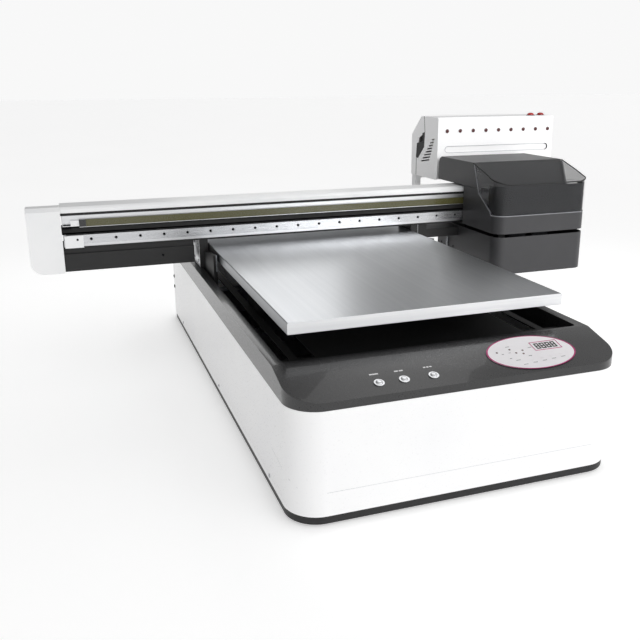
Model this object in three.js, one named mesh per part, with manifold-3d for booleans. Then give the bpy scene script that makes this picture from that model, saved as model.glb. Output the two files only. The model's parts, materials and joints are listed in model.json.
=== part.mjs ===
// Flatbed UV printer, in millimetres, +Z up.
// Sizes are measured from the machine datum: the front left bottom corner of the base cabinet,
// +X to the right, +Y to the back. The last lines move the whole machine so that its origin is
// at the middle of its footprint.
import * as THREE from 'three';
import { mergeVertices } from 'three/addons/utils/BufferGeometryUtils.js';
import Module from 'manifold-3d';

const wasm = await Module();
wasm.setup();

// ---------------------------------------------------------------- driving dimensions
const gap = 0.3; // clearance between neighbouring pieces
const sheet = 3; // wall of the moulded and folded covers

const base = { width: 710, depth: 1470, radius: 66, shellBottom: 21, shellTop: 232 };
const lid = { lip: 248, top: 281, slopeDepth: 128, rim: 23, recessFront: 138, rearRim: 26 };
const pan = { bottom: 5, inset: 1.5, floor: 4, wall: 6.5 };
const foot = { radius: 22, inset: 75 };
const deck = { bottom: 255, top: 258, trench: 35, slotFrom: 77, slotTo: 112, slotStart: 207, slotEnd: 1438 };
const chassis = { left: 39, beam: 80, front: 60, rear: 1430, cross: 50, bottom: 9.5, top: 90 };
const legX = 94.5; // centre of the bed rail, bearing and lift column on the left

const bed = { left: 43.7, right: 666.2, front: 167, depth: 930, top: 348, thickness: 24.6 };
const slide = { front: 480, rear: 760, plateBottom: 122.3, plateTop: 134 };
const screw = { radius: 8, height: 104, front: 60.5, rear: 1362 };
const lift = { columnBottom: 205, frameBottom: 303, screwRadius: 6, screwTop: 256, columnHalfX: 13, columnHalfY: 30 };

const beam = { left: -343, right: 1193, front: 952, rear: 1062, bottom: 364, top: 458, plateTop: 474 };
const channel = { bottom: 400, top: 421, rear: 988 };
const rail = { front: 938, bottom: 377, top: 400, left: -335, right: 1185 };
const endBox = { left: -431, leftSeam: -346, rightSeam: 1196, right: 1262, bottom: 299, top: 475 };
const endBoxDepth = { front: 938, rear: 1075, radius: 34 };
const belt = { pulleyRadius: 12, y: 968, leftX: -372, rightX: 1226, bottom: 404.8, top: 417.2 };

const carriage = { left: 840, right: 1152, front: 733, rear: 936, bottom: 359, trayTop: 410, radius: 35 };
const housing = { bottom: 478, top: 553, rear: 1110, frontLow: 852, frontHigh: 885.5 };
const capping = { bottom: 238, top: 349, rear: 1108 };
const ink = { left: 839, right: 1277, front: 1120, bottom: 472, top: 674, rear: 1318, chamferY: 1246, chamferZ: 610 };
const slope = Math.atan((lid.top - lid.lip) / lid.slopeDepth);

// ---------------------------------------------------------------- geometry helpers
function box(x, y, z) {
  const geometry = new THREE.BoxGeometry(x[1] - x[0], y[1] - y[0], z[1] - z[0]);
  return geometry.translate((x[0] + x[1]) / 2, (y[0] + y[1]) / 2, (z[0] + z[1]) / 2);
}

function polygon(points) {
  return new THREE.Shape(points.map(([u, v]) => new THREE.Vector2(u, v)));
}

// A rectangle with its own radius at each corner: [left front, right front, right rear, left rear].
function roundedRect([left, right], [front, rear], radii) {
  const [a, b, c, d] = radii;
  const shape = new THREE.Shape();
  shape.moveTo(left + a, front);
  shape.lineTo(right - b, front);
  shape.absarc(right - b, front + b, b, -Math.PI / 2, 0);
  shape.lineTo(right, rear - c);
  shape.absarc(right - c, rear - c, c, 0, Math.PI / 2);
  shape.lineTo(left + d, rear);
  shape.absarc(left + d, rear - d, d, Math.PI / 2, Math.PI);
  shape.lineTo(left, front + a);
  shape.absarc(left + a, front + a, a, Math.PI, Math.PI * 1.5);
  return shape;
}

function extrudeZ(shape, [bottom, top], curveSegments = 7) {
  const settings = { depth: top - bottom, bevelEnabled: false, curveSegments };
  return new THREE.ExtrudeGeometry(shape, settings).translate(0, 0, bottom);
}

// The shape is drawn in the Y-Z plane.
function extrudeX(shape, [left, right], curveSegments = 6) {
  const settings = { depth: right - left, bevelEnabled: false, curveSegments };
  const geometry = new THREE.ExtrudeGeometry(shape, settings);
  const turn = new THREE.Matrix4().makeBasis(
    new THREE.Vector3(0, 1, 0),
    new THREE.Vector3(0, 0, 1),
    new THREE.Vector3(1, 0, 0),
  );
  return geometry.applyMatrix4(turn).translate(left, 0, 0);
}

// The shape is drawn in the X-Z plane.
function extrudeY(shape, [front, rear], curveSegments = 6) {
  const settings = { depth: rear - front, bevelEnabled: false, curveSegments };
  return new THREE.ExtrudeGeometry(shape, settings).rotateX(Math.PI / 2).translate(0, rear, 0);
}

function cylinder(radius, length, segments = 20) {
  return new THREE.CylinderGeometry(radius, radius, length, segments).rotateX(Math.PI / 2);
}

// Profile points are [radius, height], turned about the Z axis.
function turned(points, segments = 20) {
  const profile = points.map(([r, h]) => new THREE.Vector2(r, h));
  return new THREE.LatheGeometry(profile, segments).rotateX(Math.PI / 2);
}

function solid(geometry) {
  const bare = geometry.clone();
  bare.deleteAttribute('normal');
  bare.deleteAttribute('uv');
  const merged = mergeVertices(bare, 1e-4);
  const mesh = new wasm.Mesh({
    numProp: 3,
    vertProperties: new Float32Array(merged.attributes.position.array),
    triVerts: new Uint32Array(merged.index.array),
  });
  return new wasm.Manifold(mesh);
}

function toGeometry(manifold) {
  const mesh = manifold.getMesh();
  const geometry = new THREE.BufferGeometry();
  geometry.setAttribute('position', new THREE.BufferAttribute(new Float32Array(mesh.vertProperties), 3));
  geometry.setIndex(new THREE.BufferAttribute(new Uint32Array(mesh.triVerts), 1));
  const faceted = geometry.toNonIndexed();
  faceted.computeVertexNormals();
  return faceted;
}

function cut(whole, ...pieces) {
  return toGeometry(pieces.reduce((result, piece) => result.subtract(solid(piece)), solid(whole)));
}

function join(...pieces) {
  return toGeometry(pieces.map(solid).reduce((result, piece) => result.add(piece)));
}

function common(first, second) {
  return toGeometry(solid(first).intersect(solid(second)));
}

// ---------------------------------------------------------------- finishes
function finish(color, roughness, metalness) {
  return { color, roughness, metalness };
}

const finishes = {
  whitePaint: finish(0xf2f2f2, 0.35, 0),
  blackGloss: finish(0x3a3a3a, 0.3, 0),
  blackPaint: finish(0x1c1c1c, 0.5, 0.1),
  brushedAluminium: finish(0xc4c6c8, 0.32, 1),
  castAluminium: finish(0x9fa2a5, 0.5, 1),
  groundSteel: finish(0xcfd1d3, 0.22, 1),
  darkSteel: finish(0x4a4c4f, 0.4, 1),
  frameSteel: finish(0x2e3033, 0.6, 0.4),
  rubber: finish(0x141414, 0.85, 0),
  encoderFilm: finish(0x57553b, 0.4, 0),
  smokedClear: finish(0x5c5c5c, 0.08, 0),
  trayBlack: finish(0x2a2a2a, 0.3, 0),
  membraneWhite: finish(0xf6f4f6, 0.4, 0),
  redPlastic: finish(0xb01010, 0.3, 0),
  chromeButton: finish(0xdfe1e3, 0.12, 1),
};

const machine = new THREE.Group();

function add(name, geometry, look, parent = machine) {
  const mesh = new THREE.Mesh(geometry, new THREE.MeshStandardMaterial(finishes[look]));
  mesh.name = name;
  parent.add(mesh);
  return mesh;
}

const mirrorX = (x) => base.width - x;
const mirrorSpan = ([from, to]) => [mirrorX(to), mirrorX(from)];

// ---------------------------------------------------------------- base cabinet
function footprint(inset) {
  const radius = base.radius - inset;
  return roundedRect([inset, base.width - inset], [inset, base.depth - inset], [radius, radius, radius, radius]);
}

function baseShell() {
  const heights = [base.shellBottom + gap, base.shellTop - gap];
  const rearOpening = box([250, 460], [base.depth - 20, base.depth + 1], [70, 180]);
  return cut(
    extrudeZ(footprint(0), heights),
    extrudeZ(footprint(sheet), [heights[0] - 1, heights[1] + 1]),
    rearOpening,
  );
}

function basePan() {
  return cut(
    extrudeZ(footprint(pan.inset), [pan.bottom, base.shellBottom]),
    extrudeZ(footprint(pan.inset + pan.wall), [pan.bottom + pan.floor, base.shellBottom + 1]),
  );
}

// Everything in front of the recess that lies above the sloping control panel, lowered by drop.
function aboveSlope(drop) {
  const over = 60;
  const wedge = polygon([
    [-1, lid.lip - drop - Math.tan(slope)],
    [lid.slopeDepth, lid.top - drop],
    [lid.slopeDepth, lid.top + over],
    [-1, lid.top + over],
  ]);
  return extrudeX(wedge, [-1, base.width + 1]);
}

function recess(inset, heights) {
  const across = [lid.rim + inset, base.width - lid.rim - inset];
  const along = [lid.recessFront + inset, base.depth - lid.rearRim - inset];
  const radius = 10 - inset;
  return extrudeZ(roundedRect(across, along, [radius, radius, radius, radius]), heights, 3);
}

const panelButtonX = [180, 231, 292];
const panelButtonY = 34;
const buttonHole = 7;

// A place on the sloping panel, and the tilt that makes +Z square to it.
function onSlope(x, y) {
  const group = new THREE.Group();
  group.position.set(x, y, lid.lip + y * Math.tan(slope));
  group.rotation.x = slope;
  machine.add(group);
  return group;
}

function lidFrame() {
  const outer = cut(extrudeZ(footprint(0), [base.shellTop, lid.top]), aboveSlope(0));
  const cavityBlank = extrudeZ(footprint(sheet), [base.shellTop - 1, lid.top - sheet]);
  const cavity = cut(cavityBlank, aboveSlope(sheet), recess(-sheet, [base.shellTop - 2, lid.top + 1]));
  const holes = panelButtonX.map((x) => {
    const hole = cylinder(buttonHole, 30, 16).rotateX(slope);
    return hole.translate(x, panelButtonY, lid.lip + panelButtonY * Math.tan(slope));
  });
  return cut(outer, recess(0, [base.shellTop - 1, lid.top + 1]), cavity, ...holes);
}

function deckPlate() {
  const cutHeights = [deck.bottom - 1, deck.top + 1];
  const length = [deck.slotStart, deck.slotEnd];
  const trench = [lid.rim - 1, lid.rim + deck.trench];
  const slot = [deck.slotFrom, deck.slotTo];
  const spans = [trench, slot, mirrorSpan(slot), mirrorSpan(trench)];
  return cut(recess(gap, [deck.bottom, deck.top]), ...spans.map((span) => box(span, length, cutHeights)));
}

function chassisFrame() {
  const outer = box([chassis.left, mirrorX(chassis.left)], [chassis.front, chassis.rear], [chassis.bottom, chassis.top]);
  const inside = box(
    [chassis.left + chassis.beam, mirrorX(chassis.left + chassis.beam)],
    [chassis.front + chassis.cross, chassis.rear - chassis.cross],
    [chassis.bottom - 1, chassis.top + 1],
  );
  return cut(outer, inside);
}

add('base_shell', baseShell(), 'whitePaint');
add('base_pan', basePan(), 'blackPaint');
add('lid_frame', lidFrame(), 'blackGloss');
add('deck_plate', deckPlate(), 'blackPaint');
add('chassis_frame', chassisFrame(), 'frameSteel');

const footPlaces = {
  foot_front_left: [foot.inset, foot.inset],
  foot_front_right: [mirrorX(foot.inset), foot.inset],
  foot_rear_left: [foot.inset, base.depth - foot.inset],
  foot_rear_right: [mirrorX(foot.inset), base.depth - foot.inset],
};
for (const [name, [x, y]] of Object.entries(footPlaces)) {
  const height = pan.bottom - gap;
  add(name, cylinder(foot.radius, height).translate(x, y, height / 2), 'rubber');
}

// ---------------------------------------------------------------- control panel
const membrane = { x: 526, y: 64, halfLength: 99, halfDepth: 55.5, thickness: 1.2 };
const panelButton = { radius: 6.5, above: 3, below: 7 };

const oval = new THREE.Shape();
oval.absellipse(0, 0, membrane.halfLength, membrane.halfDepth, 0, Math.PI * 2);
add(
  'membrane_panel',
  extrudeZ(oval, [gap, gap + membrane.thickness], 24),
  'membraneWhite',
  onSlope(membrane.x, membrane.y),
);

const panelButtonNames = ['suction_button', 'lamp_button', 'power_button'];
panelButtonNames.forEach((name, index) => {
  const { radius, above, below } = panelButton;
  const profile = [[0, -below], [radius, -below], [radius, above - 1], [radius - 1, above], [0, above]];
  add(name, turned(profile), 'chromeButton', onSlope(panelButtonX[index], panelButtonY));
});

// ---------------------------------------------------------------- rear connection plate
const rearPlate = { left: 240, right: 470, bottom: 60, top: 190, thickness: 2 };
const inlet = { x: 290, z: 110, width: 27, height: 20, depth: 22 };
const rocker = { x: 345, z: 110, width: 16, height: 22, depth: 8, pivotY: 1465, tilt: 0.12 };

function rearPanel() {
  const inner = base.depth - sheet - gap;
  const plate = box(
    [rearPlate.left, rearPlate.right],
    [inner - rearPlate.thickness, inner],
    [rearPlate.bottom, rearPlate.top],
  );
  const window = ({ x, z, width, height }) =>
    box([x - width / 2 - gap, x + width / 2 + gap], [inner - 9, inner + 9], [z - height / 2 - gap, z + height / 2 + gap]);
  return cut(plate, window(inlet), window({ ...rocker, width: rocker.width + 2, height: rocker.height + 4 }));
}

function mainsInlet() {
  const { x, z, width, height, depth } = inlet;
  const rear = base.depth - 1;
  const socket = box([x - 9, x + 9], [rear - 14, rear + 1], [z - 6, z + 6]);
  return cut(box([x - width / 2, x + width / 2], [rear - depth, rear], [z - height / 2, z + height / 2]), socket);
}

// A rocker drawn round its own pivot, the X axis through its middle.
function rockerSwitch() {
  const { width, height, depth } = rocker;
  const half = height / 2;
  const profile = polygon([
    [3, -half],
    [1.5, 0],
    [3, half],
    [3 - depth, half - 3],
    [3 - depth, 3 - half],
  ]);
  return extrudeX(profile, [-width / 2, width / 2]);
}

add('rear_panel', rearPanel(), 'blackPaint');
add('mains_inlet', mainsInlet(), 'rubber');

const rockerMount = new THREE.Group();
rockerMount.position.set(rocker.x, rocker.pivotY, rocker.z);
rockerMount.rotation.x = -rocker.tilt; // off: the lower half stands out
machine.add(rockerMount);
add('main_switch', rockerSwitch(), 'redPlastic', rockerMount);

// ---------------------------------------------------------------- bed drive inside the base
const bedRail = { half: 10, top: 108, front: 66, rear: 1424 };
const bearing = { half: 22, bottom: 95, clearance: 0.5 };

function bedRailAt(x) {
  return box([x - bedRail.half, x + bedRail.half], [bedRail.front, bedRail.rear], [chassis.top + gap, bedRail.top]);
}

function bearingAt(x) {
  const length = [slide.front, slide.rear];
  const body = box([x - bearing.half, x + bearing.half], length, [bearing.bottom, slide.plateBottom - gap]);
  const reach = bedRail.half + bearing.clearance;
  const groove = box([x - reach, x + reach], [length[0] - 1, length[1] + 1], [bearing.bottom - 1, bedRail.top + 0.5]);
  return cut(body, groove);
}

function bedCarriagePlate() {
  const middle = base.width / 2;
  const heights = [slide.plateBottom, slide.plateTop];
  const plate = box([70, mirrorX(70)], [slide.front, slide.rear], heights);
  const nut = box([middle - 20, middle + 20], [590, 650], [chassis.top + 1, slide.plateBottom + 1]);
  const bore = cylinder(screw.radius + 0.5, 80).rotateX(Math.PI / 2).translate(middle, 620, screw.height);
  const lightening = [[155, 295], [mirrorX(295), mirrorX(155)]].map((span) =>
    box(span, [slide.front + 60, slide.rear - 60], [heights[0] - 1, heights[1] + 1]));
  return cut(join(plate, nut), bore, ...lightening);
}

function screwSupport() {
  const middle = base.width / 2;
  const block = box([middle - 30, middle + 30], [66, 84], [chassis.top + gap, 134]);
  const bore = cylinder(screw.radius + gap, 40).rotateX(Math.PI / 2).translate(middle, 75, screw.height);
  return cut(block, bore);
}

const bedScrewLength = screw.rear - screw.front;
const bedScrew = cylinder(screw.radius, bedScrewLength, 16).rotateX(Math.PI / 2);
bedScrew.translate(base.width / 2, (screw.front + screw.rear) / 2, screw.height);

add('bed_rail_left', bedRailAt(legX), 'groundSteel');
add('bed_rail_right', bedRailAt(mirrorX(legX)), 'groundSteel');
add('bed_bearing_left', bearingAt(legX), 'castAluminium');
add('bed_bearing_right', bearingAt(mirrorX(legX)), 'castAluminium');
add('bed_carriage_plate', bedCarriagePlate(), 'castAluminium');
add('bed_screw', bedScrew, 'groundSteel');
add('bed_screw_support', screwSupport(), 'castAluminium');
add('bed_motor', box([327, 383], [8, 60], [76, 132]), 'darkSteel');

// ---------------------------------------------------------------- lift and print bed
const liftY = (slide.front + slide.rear) / 2;

function liftFrame() {
  const plate = box([77, mirrorX(77)], [440, 800], [lift.frameBottom, bed.top - bed.thickness - gap]);
  const pocket = box([140, mirrorX(140)], [480, 760], [lift.frameBottom + 3, bed.top]);
  const columns = [legX, mirrorX(legX)].map((x) => {
    const { columnHalfX: dx, columnHalfY: dy } = lift;
    return box([x - dx, x + dx], [liftY - dy, liftY + dy], [lift.columnBottom, lift.frameBottom + 1]);
  });
  const bores = [legX, mirrorX(legX)].map((x) => {
    const length = 100;
    return cylinder(lift.screwRadius + 0.5, length, 16).translate(x, liftY, 200 + length / 2);
  });
  return cut(join(plate, ...columns), pocket, ...bores);
}

function liftScrewAt(x) {
  const length = lift.screwTop - slide.plateTop - gap;
  return cylinder(lift.screwRadius, length, 14).translate(x, liftY, slide.plateTop + gap + length / 2);
}

function bedPlate() {
  const edge = 1.5;
  const { left, right, top, thickness } = bed;
  const outline = polygon([
    [left, top - thickness],
    [right, top - thickness],
    [right, top - edge],
    [right - edge, top],
    [left + edge, top],
    [left, top - edge],
  ]);
  return extrudeY(outline, [bed.front, bed.front + bed.depth]);
}

add('lift_frame', liftFrame(), 'blackPaint');
add('lift_screw_left', liftScrewAt(legX), 'groundSteel');
add('lift_screw_right', liftScrewAt(mirrorX(legX)), 'groundSteel');
add('bed_plate', bedPlate(), 'brushedAluminium');

// ---------------------------------------------------------------- uprights and beam
const post = { stem: [28, 38], head: [16, 40], front: 815, rear: 1045 };

// A gusset plate in front and a leg under the beam, whose wider head stands on the cabinet's rim.
function upright(place) {
  const plate = polygon([
    [post.front, 30],
    [post.rear, 30],
    [post.rear, lid.top + 2],
    [beam.front, 329],
    [post.front, 345],
  ]);
  const stem = extrudeX(plate, place(post.stem));
  const head = box(place(post.head), [beam.front, post.rear], [lid.top + gap, beam.bottom - gap]);
  return join(stem, head);
}

// The right upright also carries an arm that reaches out to the capping tray.
const arm = { bottom: 317, top: 344, front: 960, rear: 1040, shoulder: 729 };

function uprightWithArm() {
  const along = [arm.front, arm.rear];
  const shoulderBlock = box([mirrorSpan(post.stem)[1] - 1, arm.shoulder], along, [arm.bottom, beam.bottom - gap]);
  const reach = box([arm.shoulder - 1, carriage.left - gap], along, [arm.bottom, arm.top]);
  return join(upright(mirrorSpan), shoulderBlock, reach);
}

function beamExtrusion() {
  const profile = polygon([
    [beam.front, beam.bottom],
    [beam.rear, beam.bottom],
    [beam.rear, beam.top - gap],
    [beam.front, beam.top - gap],
    [beam.front, channel.top],
    [channel.rear, channel.top],
    [channel.rear, channel.bottom],
    [beam.front, channel.bottom],
  ]);
  const rearHollow = [[beam.front + 6, 370], [beam.rear - 6, 370], [beam.rear - 6, 394], [beam.front + 6, 394]];
  const topHollow = [[beam.front + 6, 427], [beam.rear - 6, 427], [beam.rear - 6, 451], [beam.front + 6, 451]];
  profile.holes.push(polygon(rearHollow), polygon(topHollow));
  return extrudeX(profile, [beam.left, beam.right]);
}

const shoulder = { frontEdge: 465, frontRun: 11, crest: 975, rearEdge: 462 };

// A hollow box over one end of the beam, open towards the beam, with one large lower corner. Its
// roof has a narrow slope in front and falls gently to the rear.
function endCover([left, right], [radiusLeft, radiusRight], openSide) {
  const over = sheet + 1;
  const inside = openSide === 'right' ? [left + sheet, right + over] : [left - over, right - sheet];
  const radii = [radiusLeft, radiusRight, sheet, sheet];
  const hollowRadii = radii.map((radius) => Math.max(radius - sheet, 1));
  const outline = roundedRect([left, right], [endBox.bottom, endBox.top], radii);
  const ceiling = shoulder.rearEdge - sheet - 1;
  const hollow = roundedRect(inside, [endBox.bottom + sheet, ceiling], hollowRadii);
  const { front, rear } = endBoxDepth;
  const roof = polygon([
    [front, endBox.bottom],
    [rear, endBox.bottom],
    [rear, shoulder.rearEdge],
    [shoulder.crest, endBox.top],
    [front + shoulder.frontRun, endBox.top],
    [front, shoulder.frontEdge],
  ]);
  const outer = common(extrudeY(outline, [front, rear]), extrudeX(roof, [left, right]));
  return cut(outer, extrudeY(hollow, [front + sheet, rear - sheet]));
}

// The cap along the beam's top, with a sloped front edge and a lower rear edge.
function beamTopPlate() {
  const front = beam.front - 5;
  const rear = beam.rear - 8;
  const profile = polygon([
    [front, beam.top],
    [rear, beam.top],
    [rear, beam.plateTop - 4],
    [rear - 25, beam.plateTop],
    [front + 6, beam.plateTop],
    [front, beam.plateTop - 6],
  ]);
  return extrudeX(profile, [endBox.leftSeam + gap, endBox.rightSeam - gap]);
}

function beltLoop() {
  const inner = belt.pulleyRadius + gap;
  const outer = inner + 1.4;
  const ring = (radius) => {
    const ends = [belt.leftX - radius, belt.rightX + radius];
    return roundedRect(ends, [belt.y - radius, belt.y + radius], [radius, radius, radius, radius]);
  };
  const heights = [belt.bottom, belt.top];
  return cut(extrudeZ(ring(outer), heights), extrudeZ(ring(inner), [heights[0] - 1, heights[1] + 1]));
}

const pulley = { bottom: 402.6, top: 419.4, flange: 2.5, play: 0.4 };

function pulleyAt(x) {
  const hub = belt.pulleyRadius;
  const rim = hub + pulley.flange;
  const profile = [
    [0, pulley.bottom],
    [rim, pulley.bottom],
    [rim, belt.bottom - pulley.play],
    [hub, belt.bottom - pulley.play],
    [hub, belt.top + pulley.play],
    [rim, belt.top + pulley.play],
    [rim, pulley.top],
    [0, pulley.top],
  ];
  return turned(profile, 24).translate(x, belt.y, 0);
}

const apron = { wall: 2, bottom: 301, step: 349, proud: 6 };

// Black tray under the left overhang, with a small step near its top.
function underBeamCover() {
  const { wall, bottom, step, proud } = apron;
  const face = beam.front - proud;
  const top = beam.bottom - gap;
  const outline = polygon([
    [face, bottom],
    [beam.rear, bottom],
    [beam.rear, top],
    [beam.rear - wall, top],
    [beam.rear - wall, bottom + wall],
    [face + wall, bottom + wall],
    [face + wall, step - wall],
    [beam.front + wall, step - wall],
    [beam.front + wall, top],
    [beam.front, top],
    [beam.front, step],
    [face, step],
  ]);
  return extrudeX(outline, [endBox.leftSeam + gap, 0]);
}

const duct = { left: -340, right: 1190, front: beam.rear + gap, rear: 1100, bottom: 386, top: 430, wall: 2 };

function cableDuct() {
  const { front, rear, bottom, top, wall } = duct;
  const outline = polygon([
    [front, bottom],
    [rear, bottom],
    [rear, top],
    [rear - wall, top],
    [rear - wall, bottom + wall],
    [front + wall, bottom + wall],
    [front + wall, top],
    [front, top],
  ]);
  return extrudeX(outline, [duct.left, duct.right]);
}

const strip = { left: -282.7, right: 1190, bottom: 421, top: 440, front: 945, rear: 946.2 };
const behindFace = beam.front - gap;

add('upright_left', upright((span) => span), 'blackPaint');
add('upright_right', uprightWithArm(), 'blackPaint');
add('beam_extrusion', beamExtrusion(), 'castAluminium');
add('beam_top_plate', beamTopPlate(), 'whitePaint');
add('guide_rail', box([rail.left, rail.right], [rail.front, behindFace], [rail.bottom, rail.top]), 'groundSteel');
add('encoder_strip', box([strip.left, strip.right], [strip.front, strip.rear], [strip.bottom, strip.top]), 'encoderFilm');
add('encoder_clamp', box([-300, strip.left - gap], [943, behindFace], [strip.bottom, strip.top]), 'blackPaint');
add('drive_belt', beltLoop(), 'rubber');
add('idle_pulley', pulleyAt(belt.leftX), 'castAluminium');
add('drive_pulley', pulleyAt(belt.rightX), 'castAluminium');
add('beam_motor', box([1201, 1251], [943, 993], [325, 402]), 'darkSteel');
add('end_cover_left', endCover([endBox.left, endBox.leftSeam], [endBoxDepth.radius, sheet], 'right'), 'whitePaint');
add('end_cover_right', endCover([endBox.rightSeam, endBox.right], [sheet, endBoxDepth.radius], 'left'), 'whitePaint');
add('under_beam_cover', underBeamCover(), 'blackPaint');
add('cable_duct', cableDuct(), 'blackPaint');

// ---------------------------------------------------------------- print carriage
function carriagePlan(inset, rearOver = 0) {
  const radius = carriage.radius - inset;
  const rearRadius = 0.5;
  const across = [carriage.left + inset, carriage.right - inset];
  const along = [carriage.front + inset, carriage.rear + rearOver];
  return roundedRect(across, along, [radius, radius, rearRadius, rearRadius]);
}

const headBay = { x: [915, 1080], y: [785, 905] };
const lampBay = { x: [853, 905], y: [778, 905] };

// The tray, with a cheek on each side that rises to the smoked hood's lower edge.
function carriageTray() {
  const floor = 5;
  const outer = extrudeZ(carriagePlan(0), [carriage.bottom, housing.bottom]);
  const inner = extrudeZ(carriagePlan(sheet, 5), [carriage.bottom + floor, housing.bottom + 1]);
  const hoodSide = polygon([
    [carriage.front - 1, carriage.trayTop],
    [760, carriage.trayTop],
    [774, 419],
    [845, 463],
    [851, housing.bottom - gap],
    [carriage.rear + 1, housing.bottom - gap],
    [carriage.rear + 1, housing.bottom + 2],
    [carriage.front - 1, housing.bottom + 2],
  ]);
  const bays = [headBay, lampBay].map(({ x, y }) => box(x, y, [carriage.bottom - 1, carriage.bottom + floor + 1]));
  const aboveCheeks = extrudeX(hoodSide, [carriage.left - 1, carriage.right + 1]);
  return cut(outer, inner, aboveCheeks, ...bays);
}

// The hood over the beam, open underneath, with the tab that reaches down into the cable duct.
function rearHousing() {
  const { bottom, top, rear, frontLow, frontHigh } = housing;
  const outline = polygon([
    [frontLow, bottom],
    [rear, bottom],
    [rear, top - 22],
    [rear - 6, top - 7],
    [rear - 18, top],
    [frontHigh, top],
  ]);
  const lean = (frontHigh - frontLow) / (top - bottom);
  const hollow = polygon([
    [frontLow + sheet - lean, bottom - 1],
    [rear - sheet, bottom - 1],
    [rear - sheet, top - 23],
    [rear - 20, top - sheet],
    [frontHigh + sheet - lean * sheet, top - sheet],
  ]);
  const shell = cut(
    extrudeX(outline, [carriage.left, carriage.right]),
    extrudeX(hollow, [carriage.left + sheet, carriage.right - sheet]),
  );
  const tab = box([980, 1010], [1076, 1086], [404, top - 1]);
  return join(shell, tab);
}

const hood = { wall: 2.5, faceTop: 497, bend: [743, 506], bendTop: 502.6 };

// Side view of the hood; the inner profile also runs out past the open underside.
function hoodProfile(inset) {
  const out = inset > 0 ? hood.wall + 2 : 0;
  const shape = new THREE.Shape();
  shape.moveTo(carriage.front + inset, carriage.trayTop + gap - out);
  shape.lineTo(759.5 + out, carriage.trayTop + gap - out);
  shape.lineTo(773.5 + out, 419.6 - out);
  shape.lineTo(844 + out, 463.6 - out);
  shape.lineTo(882.5 + out, housing.top - inset);
  shape.lineTo(813, 531 - inset);
  shape.lineTo(768, 515 - inset);
  shape.lineTo(hood.bend[0], hood.bend[1] - inset);
  shape.quadraticCurveTo(carriage.front + inset, hood.bendTop - inset, carriage.front + inset, hood.faceTop);
  return shape;
}

function smokedHood() {
  const plan = (inset) => extrudeZ(carriagePlan(inset, 10), [carriage.bottom, housing.top + 10]);
  const { wall } = hood;
  const outer = common(extrudeX(hoodProfile(0), [carriage.left, carriage.right]), plan(0));
  const inner = common(extrudeX(hoodProfile(wall), [carriage.left + wall, carriage.right - wall]), plan(wall));
  return cut(outer, inner);
}

const guide = { front: 921, rear: 948, bottom: 367, top: 411, left: 880, right: 1112, play: 0.6 };

function carriageBearing() {
  const body = box([guide.left, guide.right], [guide.front, guide.rear], [guide.bottom, guide.top]);
  const groove = box(
    [guide.left - 1, guide.right + 1],
    [rail.front - guide.play, guide.rear + 1],
    [rail.bottom - guide.play, rail.top + guide.play],
  );
  return cut(body, groove);
}

function backPlate() {
  const plate = box([862, 1130], [912, guide.front - gap], [366, 474]);
  const beltClamp = box([980, 1010], [guide.front - 2, 954.2], [412, 416]);
  return join(plate, beltClamp);
}

const heads = { printhead_left: [925, 985], printhead_right: [1005, 1065] };

function printhead([left, right]) {
  const body = box([left, right], [800, 890], [360.5, 425]);
  const damper = box([left + 12, right - 12], [815, 875], [424, 452]);
  return join(body, damper);
}

add('carriage_tray', carriageTray(), 'trayBlack');
add('carriage_rear_housing', rearHousing(), 'trayBlack');
add('smoked_hood', smokedHood(), 'smokedClear');
add('carriage_bearing', carriageBearing(), 'castAluminium');
add('carriage_back_plate', backPlate(), 'brushedAluminium');
for (const [name, span] of Object.entries(heads)) {
  add(name, printhead(span), 'darkSteel');
}
add('uv_lamp', box([857, 901], [785, 895], [361, 440]), 'castAluminium');

// ---------------------------------------------------------------- capping station
function cappingTray() {
  const { left, right, front, radius } = carriage;
  const plan = (inset) => {
    const frontRadius = radius - inset;
    const rearRadius = 12 - inset;
    const across = [left + inset, right - inset];
    const radii = [frontRadius, frontRadius, rearRadius, rearRadius];
    return roundedRect(across, [front + inset, capping.rear - inset], radii);
  };
  return cut(
    extrudeZ(plan(0), [capping.bottom, capping.top]),
    extrudeZ(plan(sheet), [capping.bottom + sheet, capping.top + 1]),
  );
}

// A channel turned upside down: its web is bolted under the beam and its legs carry the tray.
function cappingHanger() {
  const heights = [capping.bottom + sheet + gap, beam.bottom - gap];
  const block = box([860, 1132], [960, 1056], heights);
  const space = box([868, 1124], [959, 1057], [heights[0] - 1, 352]);
  return cut(block, space);
}

function capSled() {
  const floor = box([915, 1075], [790, 900], [300, 318]);
  const caps = Object.values(heads).map(([left, right]) => box([left, right], [800, 890], [317, 347]));
  const wells = Object.values(heads).map(([left, right]) => box([left + 4, right - 4], [804, 886], [339, 348]));
  return cut(join(floor, ...caps), ...wells);
}

function wiper() {
  const holder = box([868, 896], [762, 782], [302, 334]);
  const blade = box([871, 893], [770.5, 773.5], [333, 356]);
  return join(holder, blade);
}

add('capping_tray', cappingTray(), 'trayBlack');
add('capping_hanger', cappingHanger(), 'castAluminium');
add('cap_sled', capSled(), 'rubber');
add('wiper', wiper(), 'rubber');

// ---------------------------------------------------------------- ink box
const stopButton = { x: [1205, 1244], y: 1150, stem: 8, head: 15 };

function inkProfile(inset) {
  const { front, rear, bottom, top, chamferY, chamferZ } = ink;
  const radius = 16 - inset;
  const low = bottom + inset;
  const face = front + inset;
  const shape = new THREE.Shape();
  shape.moveTo(face + radius, low);
  shape.lineTo(rear - inset, low);
  shape.lineTo(rear - inset, chamferZ - inset / 2);
  shape.lineTo(chamferY - inset / 2, top - inset);
  shape.lineTo(face + 4, top - inset);
  shape.lineTo(face, top - inset - 4);
  shape.lineTo(face, low + radius);
  shape.absarc(face + radius, low + radius, radius, Math.PI, Math.PI * 1.5);
  return shape;
}

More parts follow.
